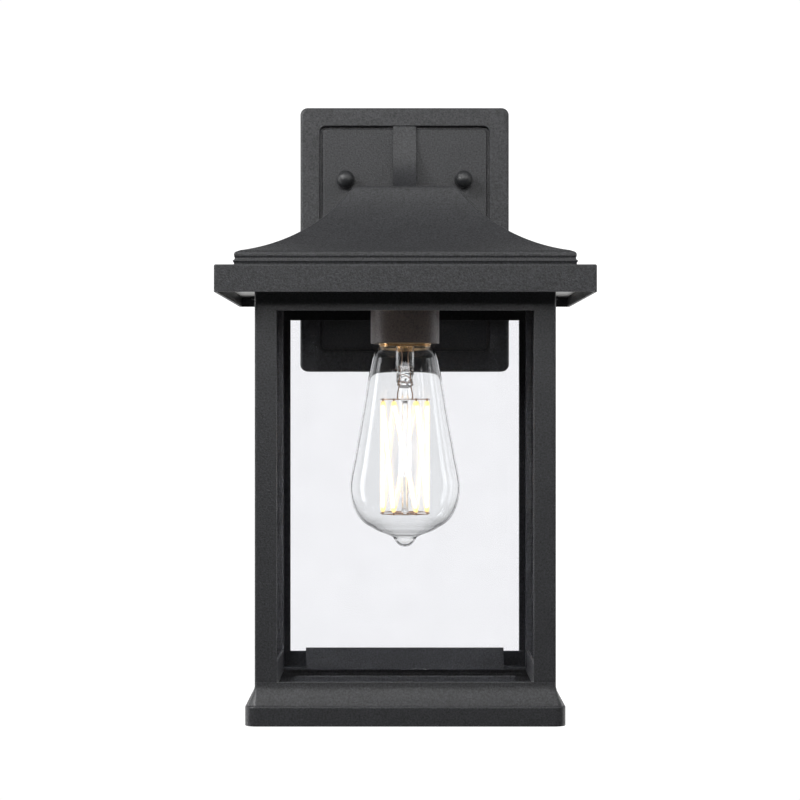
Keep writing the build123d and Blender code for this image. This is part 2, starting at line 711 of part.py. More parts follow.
def base_skirt():
    """Flared moulding with a slab edge, open below; it grows outward from the cage's corners."""
    core = CAGE_HALF - CAGE_CORNER_R
    edge = SLAB_HALF - core
    flare_start = (CAGE_CORNER_R, FLARE_TOP)
    flare_end = (FLARE_HALF - core, FLARE_BOTTOM)
    bulge = ((flare_start[0] + flare_end[0]) / 2 - 0.35, (FLARE_TOP + FLARE_BOTTOM) / 2 - 0.2)
    shelf_end = (edge - SLAB_EDGE_R, SLAB_TOP)
    turn = SLAB_EDGE_R * (1 - math.sqrt(0.5))
    side = Wire([
        Line((0, WINDOW_BOTTOM), (CAGE_CORNER_R, WINDOW_BOTTOM)),
        Line((CAGE_CORNER_R, WINDOW_BOTTOM), flare_start),
        ThreePointArc(flare_start, bulge, flare_end),
        Line(flare_end, (flare_end[0], SLAB_TOP)),
        Line((flare_end[0], SLAB_TOP), shelf_end),
        ThreePointArc(shelf_end, (edge - turn, SLAB_TOP - turn), (edge, SLAB_TOP - SLAB_EDGE_R)),
        Line((edge, SLAB_TOP - SLAB_EDGE_R), (edge, SLAB_BOTTOM)),
        Line((edge, SLAB_BOTTOM), (0, SLAB_BOTTOM)),
        Line((0, SLAB_BOTTOM), (0, WINDOW_BOTTOM)),
    ])
    face = make_face(side)
    upright = Rot(90, 0, 0) * face
    run = Pos(core, core, 0) * extrude(upright, amount=2 * core, dir=(0, -1, 0))
    corner = Pos(core, core, 0) * revolve(upright, axis=Axis.Z, revolution_arc=90)
    height = WINDOW_BOTTOM - SLAB_BOTTOM
    base = Pos(0, 0, SLAB_BOTTOM) * extrude(Rectangle(2 * core, 2 * core), amount=height)
    for quarter in range(4):
        base += Rot(0, 0, 90 * quarter) * run
        base += Rot(0, 0, 90 * quarter) * corner
    base = Pos(0, AXIS_Y, 0) * base
    base -= square(CAGE_HALF - CAGE_T, SLAB_BOTTOM, WINDOW_BOTTOM)
    base -= square(SLAB_HALF - SLAB_WALL, SLAB_BOTTOM, SLAB_TOP - SLAB_SKIN, SLAB_INNER_R)
    for lug in corner_lugs(PAN_TOP, WINDOW_BOTTOM, SCREW_PASS_R):
        base += lug
    return base


def glass_stop_pan():
    """Sheet ledge with four tabs folded up behind the glass."""
    bottom = PAN_TOP - PAN_T
    pan = square(PAN_HALF, bottom, PAN_TOP, 1.0) - square(PAN_OPENING, bottom, PAN_TOP)
    inner = AXIS_Y - PAN_OPENING
    tab = block(-TAB_HALF_L, TAB_HALF_L, inner - PAN_T, inner, bottom, TAB_TOP)
    for angle in SIDE_NAMES.values():
        pan += turned(tab, angle)
    for hole in on_corners(LUG_HOLE, lambda x, y: rod_z(SCREW_PASS_R, bottom, PAN_TOP, x, y)):
        pan -= hole
    return pan


def base_screws():
    """Long screws through the pan and base into the posts."""
    return on_corners(LUG_HOLE, lambda x, y: Pos(x, y, PAN_TOP - PAN_T) * pan_screw(
        SCREW_R, 3.1, HEAD_T, 22.0))


def cage_screws():
    """Screws down through the soffit and top ring into the posts."""
    flip = Rot(180, 0, 0)
    return on_corners(LUG_HOLE, lambda x, y: Pos(x, y, SOFFIT_Z + SOFFIT_T) * flip * pan_screw(
        SCREW_R, HEAD_R, HEAD_T, 28.0))


# ---- lampholder ----

def lampholder_bridge():
    """Hat-section strap over the soffit's hole."""
    low = SOFFIT_Z + SOFFIT_T
    half = BRIDGE_HALF_W
    web = block(-BRIDGE_LEG, BRIDGE_LEG, AXIS_Y - half, AXIS_Y + half, CUP_TOP, BRIDGE_TOP)
    for side in (-1, 1):
        leg_x = side * BRIDGE_LEG
        foot_top = low + BRIDGE_T
        web += block(leg_x - side * BRIDGE_T, leg_x, AXIS_Y - half, AXIS_Y + half, low, BRIDGE_TOP)
        web += block(leg_x, side * BRIDGE_FOOT, AXIS_Y - half, AXIS_Y + half, low, foot_top)
        web -= rod_z(SCREW_HOLE_R, low, foot_top, side * BRIDGE_SCREW)
    return web - rod_z(NIPPLE_R + FIT_GAP, CUP_TOP, BRIDGE_TOP)


def bridge_screws():
    """Screws up through the soffit into the bridge."""
    return [Pos(side * BRIDGE_SCREW, AXIS_Y, SOFFIT_Z) * pan_screw(SCREW_R, HEAD_R, HEAD_T, 6.0)
            for side in (-1, 1)]


def socket_screw_holes(z0, z1):
    """Holes for the two screws that hold the lampholder together."""
    return [rod_z(SOCKET_SCREW_R + FIT_GAP, z0, z1, 0, AXIS_Y + side * SOCKET_SCREW_Y)
            for side in (-1, 1)]


def socket_cup():
    """Painted cup around the lampholder, open below."""
    cup = rod_z(CUP_R, CUP_BOTTOM, CUP_TOP)
    cup = fillet(cup.edges().group_by(Axis.Z)[-1], 1.0)
    crown = CUP_TOP - CUP_CROWN_T
    cup -= rod_z(CUP_R - CUP_T, CUP_BOTTOM, crown)
    cup = fillet(cup.edges().group_by(Axis.Z)[0], 0.35)
    cup -= rod_z(NIPPLE_R + FIT_GAP, crown, CUP_TOP)
    for hole in socket_screw_holes(crown, CUP_TOP):
        cup -= hole
    return cup


def threaded_nipple():
    """Hollow stud that holds the cup to the bridge and carries the wires."""
    return rod_z(NIPPLE_R, NIPPLE_BOTTOM, NIPPLE_TOP) - rod_z(NIPPLE_BORE_R, NIPPLE_BOTTOM, NIPPLE_TOP)


def nipple_nuts():
    """Nut above the bridge and nut inside the cup."""
    below = CUP_TOP - CUP_CROWN_T
    hole = NIPPLE_R + FIT_GAP
    return [hex_nut_z(NIPPLE_NUT_FLAT, hole, BRIDGE_TOP, BRIDGE_TOP + NIPPLE_NUT_T),
            hex_nut_z(NIPPLE_NUT_FLAT, hole, below - NIPPLE_NUT_T, below)]


def nipple_bush():
    """Plastic bush that keeps the wires off the nipple's end."""
    return rod_z(BUSH_R, NIPPLE_TOP, BUSH_TOP) - rod_z(BUSH_BORE_R, NIPPLE_TOP, BUSH_TOP)


def socket_body():
    """Porcelain body with a recess above for the leads."""
    top = CUP_TOP - CUP_CROWN_T
    body = rod_z(SOCKET_R, SOCKET_BOTTOM, top)
    body = fillet(body.edges().group_by(Axis.Z)[0], 1.2)
    body -= rod_z(SHELL_R + 0.1, SOCKET_BOTTOM, SOCKET_FLOOR)
    body -= rod_z(SOCKET_RECESS_R, SOCKET_RECESS_FLOOR, top)
    for x in TERMINAL_X.values():
        body -= rod_z(WIRE_R + 0.1, SOCKET_FLOOR, SOCKET_RECESS_FLOOR, x)
    for hole in socket_screw_holes(SOCKET_FLOOR, top):
        body -= hole
    return body


def socket_shell():
    """Brass screw shell, ribbed inside."""
    top = SOCKET_FLOOR
    inside = top - SHELL_T
    shell = rod_z(SHELL_R, SHELL_BOTTOM, top) - rod_z(SHELL_R - SHELL_T, SHELL_BOTTOM, inside)
    for turn in range(CAP_TURNS):
        z = SHELL_BOTTOM + 1.2 + turn * CAP_PITCH
        ring = rod_z(SHELL_R - 0.4, z, z + 1.4) - rod_z(SHELL_RIB_R, z, z + 1.4)
        shell += ring
    shell -= rod_z(SHELL_FLOOR_HOLE_R, inside, top)
    for hole in socket_screw_holes(inside, top):
        shell -= hole
    return shell


def socket_centre_contact():
    """Live contact strip at the bottom of the shell."""
    strip = block(-5.0, 5.0, AXIS_Y - 3.0, AXIS_Y + 3.0, SOCKET_FLOOR - 0.6, SOCKET_FLOOR)
    pad = Pos(0, AXIS_Y, SOCKET_FLOOR - 0.6) * Rot(180, 0, 0) * Cone(
        3.0, 2.0, 0.9, align=(Align.CENTER, Align.CENTER, Align.MIN))
    return strip + pad


def socket_screws():
    """Screws that hold shell and porcelain to the cup."""
    seat = SOCKET_FLOOR - SHELL_T
    screw = pan_screw(SOCKET_SCREW_R, 2.0, 1.4, CUP_TOP - CUP_CROWN_T / 2 - seat)
    return [Pos(0, AXIS_Y + side * SOCKET_SCREW_Y, seat) * screw for side in (-1, 1)]


# ---- lamp ----

def bulb_glass():
    """Pear-shaped envelope with a drawn exhaust tip."""
    neck = (CAP_BORE_R - 0.2, STEM_TOP - 0.5)
    throat = (neck[0], LAMP_NECK_Z + 2.4)
    lip = (15.0, LAMP_NECK_Z)
    body = [(18.3, -112.0), (20.6, -122.0), (25.3, -150.0), (28.9, -170.0), (LAMP_R, -190.5),
            (27.4, -206.0), (18.0, -213.6), (9.8, -217.0), (6.9, -218.5)]
    t = LAMP_GLASS_T
    inner = [(r - t, z) for r, z in body[:5]] + [(26.6, -205.5), (17.6, -212.7), (8.8, -216.1)]
    return spun(
        Line(neck, throat),
        Line(throat, lip),
        Spline(lip, *body, (NUB_R, NUB_TOP), tangents=[(1.2, -0.6), (-0.46, -0.89)]),
        ThreePointArc((NUB_R, NUB_TOP), (4.4, -222.24), (NUB_TIP_R, NUB_BOTTOM)),
        Line((NUB_TIP_R, NUB_BOTTOM), (0, NUB_BOTTOM)),
        Line((0, NUB_BOTTOM), (0, -217.0)),
        Spline((0, -217.0), *inner[::-1], (lip[0] - t, lip[1] - 0.6), tangents=[(1, 0), (-0.9, 0.8)]),
        Line((lip[0] - t, lip[1] - 0.6), (neck[0] - t, throat[1])),
        Line((neck[0] - t, throat[1]), (neck[0] - t, neck[1])),
        Line((neck[0] - t, neck[1]), neck),
    )


def bulb_cap():
    """Screw cap: ribs, tapered top and a flared lower lip."""
    points = [(CAP_BORE_R, INSULATOR_BOTTOM - 2.4), (INSULATOR_R, INSULATOR_BOTTOM - 0.4),
              (INSULATOR_R, INSULATOR_BOTTOM), (CAP_ROOT_R, CAP_THREAD_TOP)]
    for turn in range(CAP_TURNS):
        z = CAP_THREAD_TOP - turn * CAP_PITCH
        points += [(CAP_RIB_R, z - 0.30 * CAP_PITCH), (CAP_RIB_R, z - 0.55 * CAP_PITCH),
                   (CAP_ROOT_R, z - 0.85 * CAP_PITCH)]
    lip = LAMP_NECK_Z + 0.1
    points += [(CAP_RIB_R - 0.1, -105.0), (15.3, lip + 0.8), (15.3, lip), (15.0, lip),
               (CAP_BORE_R, LAMP_NECK_Z + 2.6)]
    return spun(*outline(points))


def bulb_insulator():
    """Black glass ring between cap and contact."""
    return spun(*outline([(0, INSULATOR_BOTTOM), (INSULATOR_R, INSULATOR_BOTTOM),
                          (CONTACT_R + 0.6, INSULATOR_TOP), (0, INSULATOR_TOP)]))


def bulb_contact():
    """Solder eyelet at the top of the cap."""
    dome = rod_z(CONTACT_R, INSULATOR_TOP, CONTACT_TOP)
    return fillet(dome.edges().group_by(Axis.Z)[-1], 0.6)


def bulb_driver():
    """Driver board in the cap with its parts."""
    board = rod_z(11.0, BOARD_BOTTOM, BOARD_TOP)
    capacitor = rod_z(3.4, BOARD_TOP, BOARD_TOP + 5.4, -4.2, AXIS_Y + 1.5)
    chip = block(1.5, 6.0, AXIS_Y - 5.0, AXIS_Y - 1.0, BOARD_TOP, BOARD_TOP + 1.6)
    coil = rod_z(2.6, BOARD_TOP, BOARD_TOP + 4.2, 4.4, AXIS_Y + 4.4)
    return [board, capacitor, chip, coil]


def bulb_stem():
    """Glass stem: flare, tube, flattened pinch and centre rod."""
    flare = spun(*outline([(STEM_R, STEM_TOP), (2 * STEM_R, STEM_TOP), (2 * STEM_R, STEM_TOP - 0.9),
                           (STEM_R, STEM_TOP - 4.5)]))
    tube = rod_z(STEM_R, PINCH_TOP - 1.0, STEM_TOP) - rod_z(STEM_BORE_R, PINCH_TOP + 1.5, STEM_TOP)
    middle = (PINCH_TOP + PINCH_BOTTOM) / 2
    pinch = Pos(0, AXIS_Y, middle) * Box(*PINCH_SIZE, PINCH_TOP - PINCH_BOTTOM)
    pinch = fillet(pinch.edges(), 1.6)
    rod = rod_z(STEM_ROD_R, RING_LOWER_Z - 1.5, PINCH_BOTTOM + 2.0)
    rod = fillet(rod.edges().group_by(Axis.Z)[0], 0.9)
    return flare + tube + pinch + rod


def bulb_lead_wires():
    """Two copper leads: board to pinch, and pinch to the upper ring."""
    leads = []
    for x in (-LEAD_X, LEAD_X):
        leads.append(rod_z(LEAD_R, PINCH_TOP + 1.8, BOARD_BOTTOM, x))
        leads.append(rod_z(LEAD_R, RING_UPPER_Z + RING_WIRE_R, PINCH_BOTTOM - 0.1, x))
    return leads


def wire_ring(z, spokes):
    """Ring that carries the filament ends, with spokes to the centre rod."""
    ring = Pos(0, AXIS_Y, z) * Torus(RING_R, RING_WIRE_R)
    middle = (RING_R + STEM_ROD_R) / 2
    spoke = Pos(middle, 0, 0) * Rot(0, 90, 0) * Cylinder(LEAD_R, RING_R - STEM_ROD_R)
    for index in range(spokes):
        ring += Pos(0, AXIS_Y, z) * Rot(0, 0, index * 360 / spokes + 45) * spoke
    return ring


def filament_end(index):
    """Place of a filament's end on its ring; the places sit in four pairs."""
    stagger = FILAMENT_STAGGER if index % 2 == 0 else -FILAMENT_STAGGER
    angle = math.radians((index + 0.5) * 360 / FILAMENTS + stagger)
    return RING_R * math.cos(angle), AXIS_Y + RING_R * math.sin(angle)


def bulb_filaments():
    """Light rods between the two rings, each ending one place on from where it starts."""
    rods = []
    for index in range(FILAMENTS):
        high = Vector(*filament_end(index), RING_UPPER_Z - RING_WIRE_R - FILAMENT_CAP)
        low = Vector(*filament_end(index + 1), RING_LOWER_Z + RING_WIRE_R + FILAMENT_CAP)
        along = low - high
        rod = Plane(origin=high, z_dir=along) * extrude(Circle(FILAMENT_R), amount=along.length)
        rods.append(rod)
    return rods


# ---- wires ----

def mains_wire(side):
    """Lead from the lampholder, through nipple, arm and plate, to its connector."""
    x = side * WIRE_X
    points = [
        (TERMINAL_X[side], AXIS_Y, SOCKET_FLOOR + 0.2),
        (TERMINAL_X[side], AXIS_Y, SOCKET_RECESS_FLOOR + 1.8),
        (x, AXIS_Y, -68.4),
        (x, AXIS_Y, CHANNEL_Z),
        (x, WIRE_Y_CAVITY, CHANNEL_Z),
        (side * CONNECTOR_X, WIRE_Y_CAVITY, -51.0),
        (side * CONNECTOR_X, WIRE_Y_CAVITY, CONNECTOR_TOP - CONNECTOR_GRIP + 1.0),
    ]
    return wire(points, [1.4, 1.4, 11.0, 4.5, 8.0])


def wire_connectors():
    """Twist-on connectors that end the two leads."""
    caps = []
    for side in (-1, 1):
        cone = Cone(3.3, 4.6, CONNECTOR_TOP - CONNECTOR_BOTTOM)
        middle = (CONNECTOR_TOP + CONNECTOR_BOTTOM) / 2
        cap = Pos(side * CONNECTOR_X, WIRE_Y_CAVITY, middle) * cone
        cap -= rod_z(WIRE_R + FIT_GAP, CONNECTOR_TOP - CONNECTOR_GRIP, CONNECTOR_TOP,
                     side * CONNECTOR_X, WIRE_Y_CAVITY)
        caps.append(cap)
    return caps


def wire_ground():
    """Earth wire between the two ring terminals."""
    upper_y = -BAR_T - LUG_BARREL_OUT / 2
    lower_y = GROUND_BOSS_END + LUG_BARREL_OUT / 2
    points = [
        (GROUND_X, upper_y, GROUND_BAR_Z - 5.0),
        (GROUND_X, upper_y, GROUND_BAR_Z - 11.5),
        (GROUND_X, lower_y, GROUND_PLATE_Z + 11.0),
        (GROUND_X, lower_y, GROUND_PLATE_Z + 5.0),
    ]
    return wire(points, [3.0, 3.0])


def build():
    """Make every node."""
    os.makedirs("parts", exist_ok=True)
    plate = back_plate()
    outside = bell_outside()
    inside = bell_inside()
    bar_screw, plate_screw = ground_screws()
    save("back_plate", plate)
    save("wall_gasket", wall_gasket())
    save("crossbar", crossbar())
    save("mounting_studs", mounting_studs())
    save("crossbar_locknuts", crossbar_locknuts())
    save("ground_screw", bar_screw)
    save("plate_ground_screw", plate_screw)
    save("ground_lugs", ground_lug(-BAR_T, GROUND_BAR_Z, -1), ground_lug_on_plate())
    for name, side in (("left", -1), ("right", 1)):
        save(f"cap_washer_{name}", cap_washer(side))
        save(f"cap_nut_{name}", cap_nut(side))
    save("support_arm", support_arm(plate, outside))
    save("arm_plate_screws", arm_plate_screws())
    save("arm_roof_screws", arm_roof_screws())
    save("arm_grommet", arm_grommet())
    save("roof_bell", roof_bell(outside, inside))
    save("roof_fascia", roof_fascia())
    save("roof_screws", screws_up(BELL_BOSS, BELL_BOTTOM - FASCIA_T, 9.0))
    save("soffit_plate", soffit_plate())
    save("soffit_screws", screws_up(SOFFIT_SCREW, SOFFIT_Z, 6.5))
    save("cage_top_ring", cage_top_ring())
    for sx, sy in CORNERS:
        name = ("front" if sy < 0 else "rear") + ("_left" if sx < 0 else "_right")
        save(f"corner_post_{name}", corner_post(sx, sy))
    for name, angle in SIDE_NAMES.items():
        save(f"glass_{name}", glass_pane(angle))
    tab_back = PAN_OPENING + PAN_T
    seal_t = CAGE_HALF - CAGE_T - GLASS_T - tab_back
    save("glass_seals", glass_strips(tab_back, seal_t, SEAL_BOTTOM, SEAL_TOP, TAB_HALF_L - 1))
    save("glass_cushions", glass_strips(CAGE_HALF - CAGE_T - GLASS_T, GLASS_T - 0.2,
                                        PAN_TOP, GLASS_BOTTOM, TAB_HALF_L))
    save("base_skirt", base_skirt())
    save("glass_stop_pan", glass_stop_pan())
    save("cage_screws", cage_screws())
    save("base_screws", base_screws())
    save("lampholder_bridge", lampholder_bridge())
    save("bridge_screws", bridge_screws())
    save("socket_cup", socket_cup())
    save("threaded_nipple", threaded_nipple())
    save("nipple_nuts", nipple_nuts())
    save("nipple_bush", nipple_bush())
    save("socket_body", socket_body())
    save("socket_shell", socket_shell())
    save("socket_centre_contact", socket_centre_contact())
    save("socket_screws", socket_screws())
    save("wire_live", mains_wire(-1))
    save("wire_neutral", mains_wire(1))
    save("wire_ground", wire_ground())
    save("wire_connectors", wire_connectors())
    save("bulb_glass", bulb_glass())
    save("bulb_cap", bulb_cap())
    save("bulb_insulator", bulb_insulator())
    save("bulb_contact", bulb_contact())
    save("bulb_driver", bulb_driver())
    save("bulb_stem", bulb_stem())
    save("bulb_lead_wires", bulb_lead_wires())
    save("bulb_support_wires", wire_ring(RING_UPPER_Z, 2), wire_ring(RING_LOWER_Z, 4))
    save("bulb_filaments", bulb_filaments())


build()
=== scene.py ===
import json
import math

import bmesh
import bpy
from mathutils import Matrix, Vector, noise


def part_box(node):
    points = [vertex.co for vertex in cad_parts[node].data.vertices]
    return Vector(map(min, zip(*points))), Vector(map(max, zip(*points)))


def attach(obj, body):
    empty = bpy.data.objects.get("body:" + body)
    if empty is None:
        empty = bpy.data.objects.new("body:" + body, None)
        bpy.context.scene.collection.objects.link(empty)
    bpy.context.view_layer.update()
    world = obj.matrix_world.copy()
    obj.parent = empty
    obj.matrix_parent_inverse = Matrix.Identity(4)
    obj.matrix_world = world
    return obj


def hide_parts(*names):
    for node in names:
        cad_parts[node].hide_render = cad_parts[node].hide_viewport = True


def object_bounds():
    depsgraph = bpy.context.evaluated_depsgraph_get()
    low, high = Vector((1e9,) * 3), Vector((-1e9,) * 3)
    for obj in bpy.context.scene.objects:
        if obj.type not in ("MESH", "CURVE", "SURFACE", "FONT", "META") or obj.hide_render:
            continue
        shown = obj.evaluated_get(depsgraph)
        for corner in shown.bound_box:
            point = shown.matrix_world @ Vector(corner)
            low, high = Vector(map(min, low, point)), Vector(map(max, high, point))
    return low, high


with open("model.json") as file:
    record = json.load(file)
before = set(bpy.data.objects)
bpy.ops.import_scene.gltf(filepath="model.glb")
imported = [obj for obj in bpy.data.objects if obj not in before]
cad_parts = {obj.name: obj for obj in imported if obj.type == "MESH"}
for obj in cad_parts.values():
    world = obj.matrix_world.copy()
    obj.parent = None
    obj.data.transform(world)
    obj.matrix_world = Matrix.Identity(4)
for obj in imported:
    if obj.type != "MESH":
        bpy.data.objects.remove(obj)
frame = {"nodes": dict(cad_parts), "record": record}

# Looks of the wall lantern. Everything is in metres in the frame's own axes:
# +Z up, +Y into the wall. Sizes of outlines are in millimetres, times MM.
MM = 0.001
cad_low, cad_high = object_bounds()
NODES = frame["nodes"]

cup_low, cup_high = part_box("socket_cup")
rings_low, rings_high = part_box("bulb_support_wires")
AXIS = Vector(((cup_low.x + cup_high.x) / 2, (cup_low.y + cup_high.y) / 2, 0.0))


# ---- camera, light and floor ----

CAMERA_PLACE = (-0.0029, -1.503, -0.1387)
SENSOR_MM = 36.0
LENS_MM = 105.9
CLIP_NEAR = 0.05
CLIP_FAR = 200.0
FLOOR_DROP = 1.4
FLOOR_HALF = 2.6
FLOOR_COLOUR = (0.60, 0.60, 0.60)

# The world's brightness as light, and where along Y and Z it changes, for directions of length 1
AMBIENT_FRONT = 0.02
AMBIENT_SIDE = 0.16
AMBIENT_BEHIND = 1.0
AMBIENT_ABOVE = 0.05
FRONT_TO_SIDE = (-0.75, 0.05)
SIDE_TO_BEHIND = (0.15, 0.75)
BAND_TO_ABOVE = (0.12, 0.42)


def make_camera():
    data = bpy.data.cameras.new("camera")
    data.sensor_width = SENSOR_MM
    data.lens = LENS_MM
    data.clip_start = CLIP_NEAR
    data.clip_end = CLIP_FAR
    camera = bpy.data.objects.new("camera", data)
    camera.location = CAMERA_PLACE
    camera.rotation_euler = (math.radians(90), 0, 0)
    bpy.context.scene.collection.objects.link(camera)
    bpy.context.scene.camera = camera


def softbox(name, place, target, size, power):
    """Rectangular area light aimed at a point."""
    data = bpy.data.lights.new(name, "AREA")
    data.shape = "RECTANGLE"
    data.size, data.size_y = size
    data.energy = power
    lamp = bpy.data.objects.new(name, data)
    lamp.location = place
    aim = Vector(target) - Vector(place)
    lamp.rotation_euler = aim.to_track_quat("-Z", "Y").to_euler()
    bpy.context.scene.collection.objects.link(lamp)


# Azimuth from the front and elevation in degrees, distance, size and power of each softbox
LIGHTS = {
    "key": (-50, 30, 1.7, (0.6, 0.6), 20.0),
    "fill": (50, 26, 1.7, (0.45, 1.1), 7.5),
    "low_front": (0, 20, 1.7, (0.9, 0.30), 5.0),
    "high_front": (0, 66, 0.55, (0.5, 0.2), 0.5),
    "overhead": (0, 88, 1.5, (1.0, 0.8), 0.2),
    "rim_left": (-100, 0, 1.5, (0.35, 1.2), 5.0),
    "rim_right": (112, 0, 1.5, (0.25, 1.2), 1.8),
}


def make_lights():
    middle = (cad_low + cad_high) / 2
    for name, (azimuth, elevation, distance, size, power) in LIGHTS.items():
        turn, rise = math.radians(azimuth), math.radians(elevation)
        way = Vector((math.sin(turn) * math.cos(rise), -math.cos(turn) * math.cos(rise), math.sin(rise)))
        softbox(name, middle + way * distance, middle, size, power)


def make_world():
    """White to look at; as light it is a bright band behind the lantern and dim elsewhere."""
    world = bpy.data.worlds.new("studio")
    bpy.context.scene.world = world
    world.use_nodes = True
    tree = world.node_tree
    background = tree.nodes["Background"]
    place = add(tree, "ShaderNodeTexCoord")
    split = add(tree, "ShaderNodeSeparateXYZ")
    tree.links.new(place.outputs["Generated"], split.inputs[0])
    side = ranged(tree, split.outputs["Y"], AMBIENT_FRONT, AMBIENT_SIDE, *FRONT_TO_SIDE)
    behind = ranged(tree, split.outputs["Y"], 0.0, AMBIENT_BEHIND, *SIDE_TO_BEHIND)
    height = add(tree, "ShaderNodeMath", {"operation": "ABSOLUTE"})
    tree.links.new(split.outputs["Z"], height.inputs[0])
    band = ranged(tree, height.outputs[0], 1.0, AMBIENT_ABOVE, *BAND_TO_ABOVE)
    level = combined(tree, "ADD", side, combined(tree, "MULTIPLY", behind, band))
    strength = combined(tree, "MAXIMUM", level, seen_directly(tree))
    background.inputs["Color"].default_value = (1.0, 1.0, 1.0, 1.0)
    tree.links.new(strength, background.inputs["Strength"])


# ---- material helpers ----

def add(tree, kind, settings=None, **values):
    """New shader node; settings are its properties and values its inputs."""
    made = tree.nodes.new(kind)
    for key, value in (settings or {}).items():
        setattr(made, key, value)
    for key, value in values.items():
        made.inputs[key.replace("_", " ")].default_value = value
    return made


def new_material(name):
    material = bpy.data.materials.new(name)
    material.use_nodes = True
    tree = material.node_tree
    return material, tree, tree.nodes["Principled BSDF"]


def object_noise(tree, scale, detail=2.0, roughness=0.5, distortion=0.0):
    """Noise fixed to the object, its scale in grains per metre."""
    place = add(tree, "ShaderNodeTexCoord")
    grain = add(tree, "ShaderNodeTexNoise", Scale=scale, Detail=detail, Roughness=roughness,
                Distortion=distortion)
    tree.links.new(place.outputs["Object"], grain.inputs["Vector"])
    return grain.outputs["Fac"]


def ranged(tree, source, low, high, from_low=0.3, from_high=0.7):
    """A value spread from one range over another; the default suits noise."""
    spread = add(tree, "ShaderNodeMapRange", From_Min=from_low, From_Max=from_high,
                 To_Min=low, To_Max=high)
    tree.links.new(source, spread.inputs["Value"])
    return spread.outputs["Result"]


def combined(tree, operation, one, two):
    """Result of a maths node on two values."""
    result = add(tree, "ShaderNodeMath", {"operation": operation})
    tree.links.new(one, result.inputs[0])
    tree.links.new(two, result.inputs[1])
    return result.outputs[0]


def seen_directly(tree):
    """1 for what is looked at, also through glass, and 0 for the light it would throw on things."""
    path = add(tree, "ShaderNodeLightPath")
    bounces = combined(tree, "ADD", path.outputs["Diffuse Depth"], path.outputs["Glossy Depth"])
    straight = ranged(tree, bounces, 1.0, 0.0, 0.0, 1.0)
    through = combined(tree, "MULTIPLY", path.outputs["Is Transmission Ray"], straight)
    return combined(tree, "MAXIMUM", path.outputs["Is Camera Ray"], through)


def shaded(tree, colour, factor):
    """A colour times a varying brightness."""
    scaled = add(tree, "ShaderNodeVectorMath", {"operation": "SCALE"})
    scaled.inputs[0].default_value = colour
    tree.links.new(factor, scaled.inputs["Scale"])
    return scaled.outputs["Vector"]


def bumped(tree, shader, layers):
    """Bump layers as (height, strength, depth in metres), fine ones last."""
    normal = None
    for height, strength, depth in layers:
        bump = add(tree, "ShaderNodeBump", Strength=strength, Distance=depth)
        tree.links.new(height, bump.inputs["Height"])
        if normal is not None:
            tree.links.new(normal, bump.inputs["Normal"])
        normal = bump.outputs["Normal"]
    tree.links.new(normal, shader.inputs["Normal"])


# ---- materials ----

MOTTLE_SCALE = 60.0
PEEL_SCALE = 420.0
COAT_SPECULAR = 0.75
COAT_GLOSS_SPREAD = 0.12


def powder_coat(name, colour, roughness, speckle=0.95, grain=980.0):
    """Sandy powder coat: fine grain in colour and height over a soft orange peel."""
    material, tree, shader = new_material(name)
    shader.inputs["Specular IOR Level"].default_value = COAT_SPECULAR
    sand = object_noise(tree, grain, 3.0, 0.7)
    mottle = object_noise(tree, MOTTLE_SCALE, 3.0, 0.55)
    peel = object_noise(tree, PEEL_SCALE, 2.0, 0.5)
    bright = combined(tree, "MULTIPLY", ranged(tree, sand, 1.0 - speckle, 1.0 + speckle * 1.3),
                      ranged(tree, mottle, 0.92, 1.08))
    tree.links.new(shaded(tree, colour, bright), shader.inputs["Base Color"])
    gloss = ranged(tree, sand, roughness + COAT_GLOSS_SPREAD, roughness - COAT_GLOSS_SPREAD)
    tree.links.new(gloss, shader.inputs["Roughness"])
    bumped(tree, shader, [(peel, 0.30, 0.00012), (sand, 1.0, 0.00020)])
    return material


def plain_finish(name, colour, roughness, metallic=0.0, grain=700.0, vary=0.12, depth=0.00003):
    """Moulded or metal surface with slight variation in colour, gloss and height."""
    material, tree, shader = new_material(name)
    shader.inputs["Metallic"].default_value = metallic
    fine = object_noise(tree, grain, 2.0, 0.6)
    broad = object_noise(tree, 45.0, 3.0, 0.6)
    tree.links.new(shaded(tree, colour, ranged(tree, broad, 1.0 - vary, 1.0 + vary)),
                   shader.inputs["Base Color"])
    tree.links.new(ranged(tree, fine, roughness * 0.85, roughness * 1.15), shader.inputs["Roughness"])
    bumped(tree, shader, [(fine, 0.3, depth)])
    return material


def brushed(name, colour, roughness, stretch=(1.0, 30.0, 30.0)):
    """Rolled or plated metal with fine drawn lines."""
    material, tree, shader = new_material(name)
    shader.inputs["Metallic"].default_value = 1.0
    place = add(tree, "ShaderNodeTexCoord")
    squeeze = add(tree, "ShaderNodeMapping", Scale=stretch)
    lines = add(tree, "ShaderNodeTexNoise", Scale=90.0, Detail=3.0)
    tree.links.new(place.outputs["Object"], squeeze.inputs["Vector"])
    tree.links.new(squeeze.outputs["Vector"], lines.inputs["Vector"])
    tree.links.new(shaded(tree, colour, ranged(tree, lines.outputs["Fac"], 0.85, 1.1)),
                   shader.inputs["Base Color"])
    tree.links.new(ranged(tree, lines.outputs["Fac"], roughness - 0.06, roughness + 0.08),
                   shader.inputs["Roughness"])
    bumped(tree, shader, [(lines.outputs["Fac"], 0.15, 0.00002)])
    return material


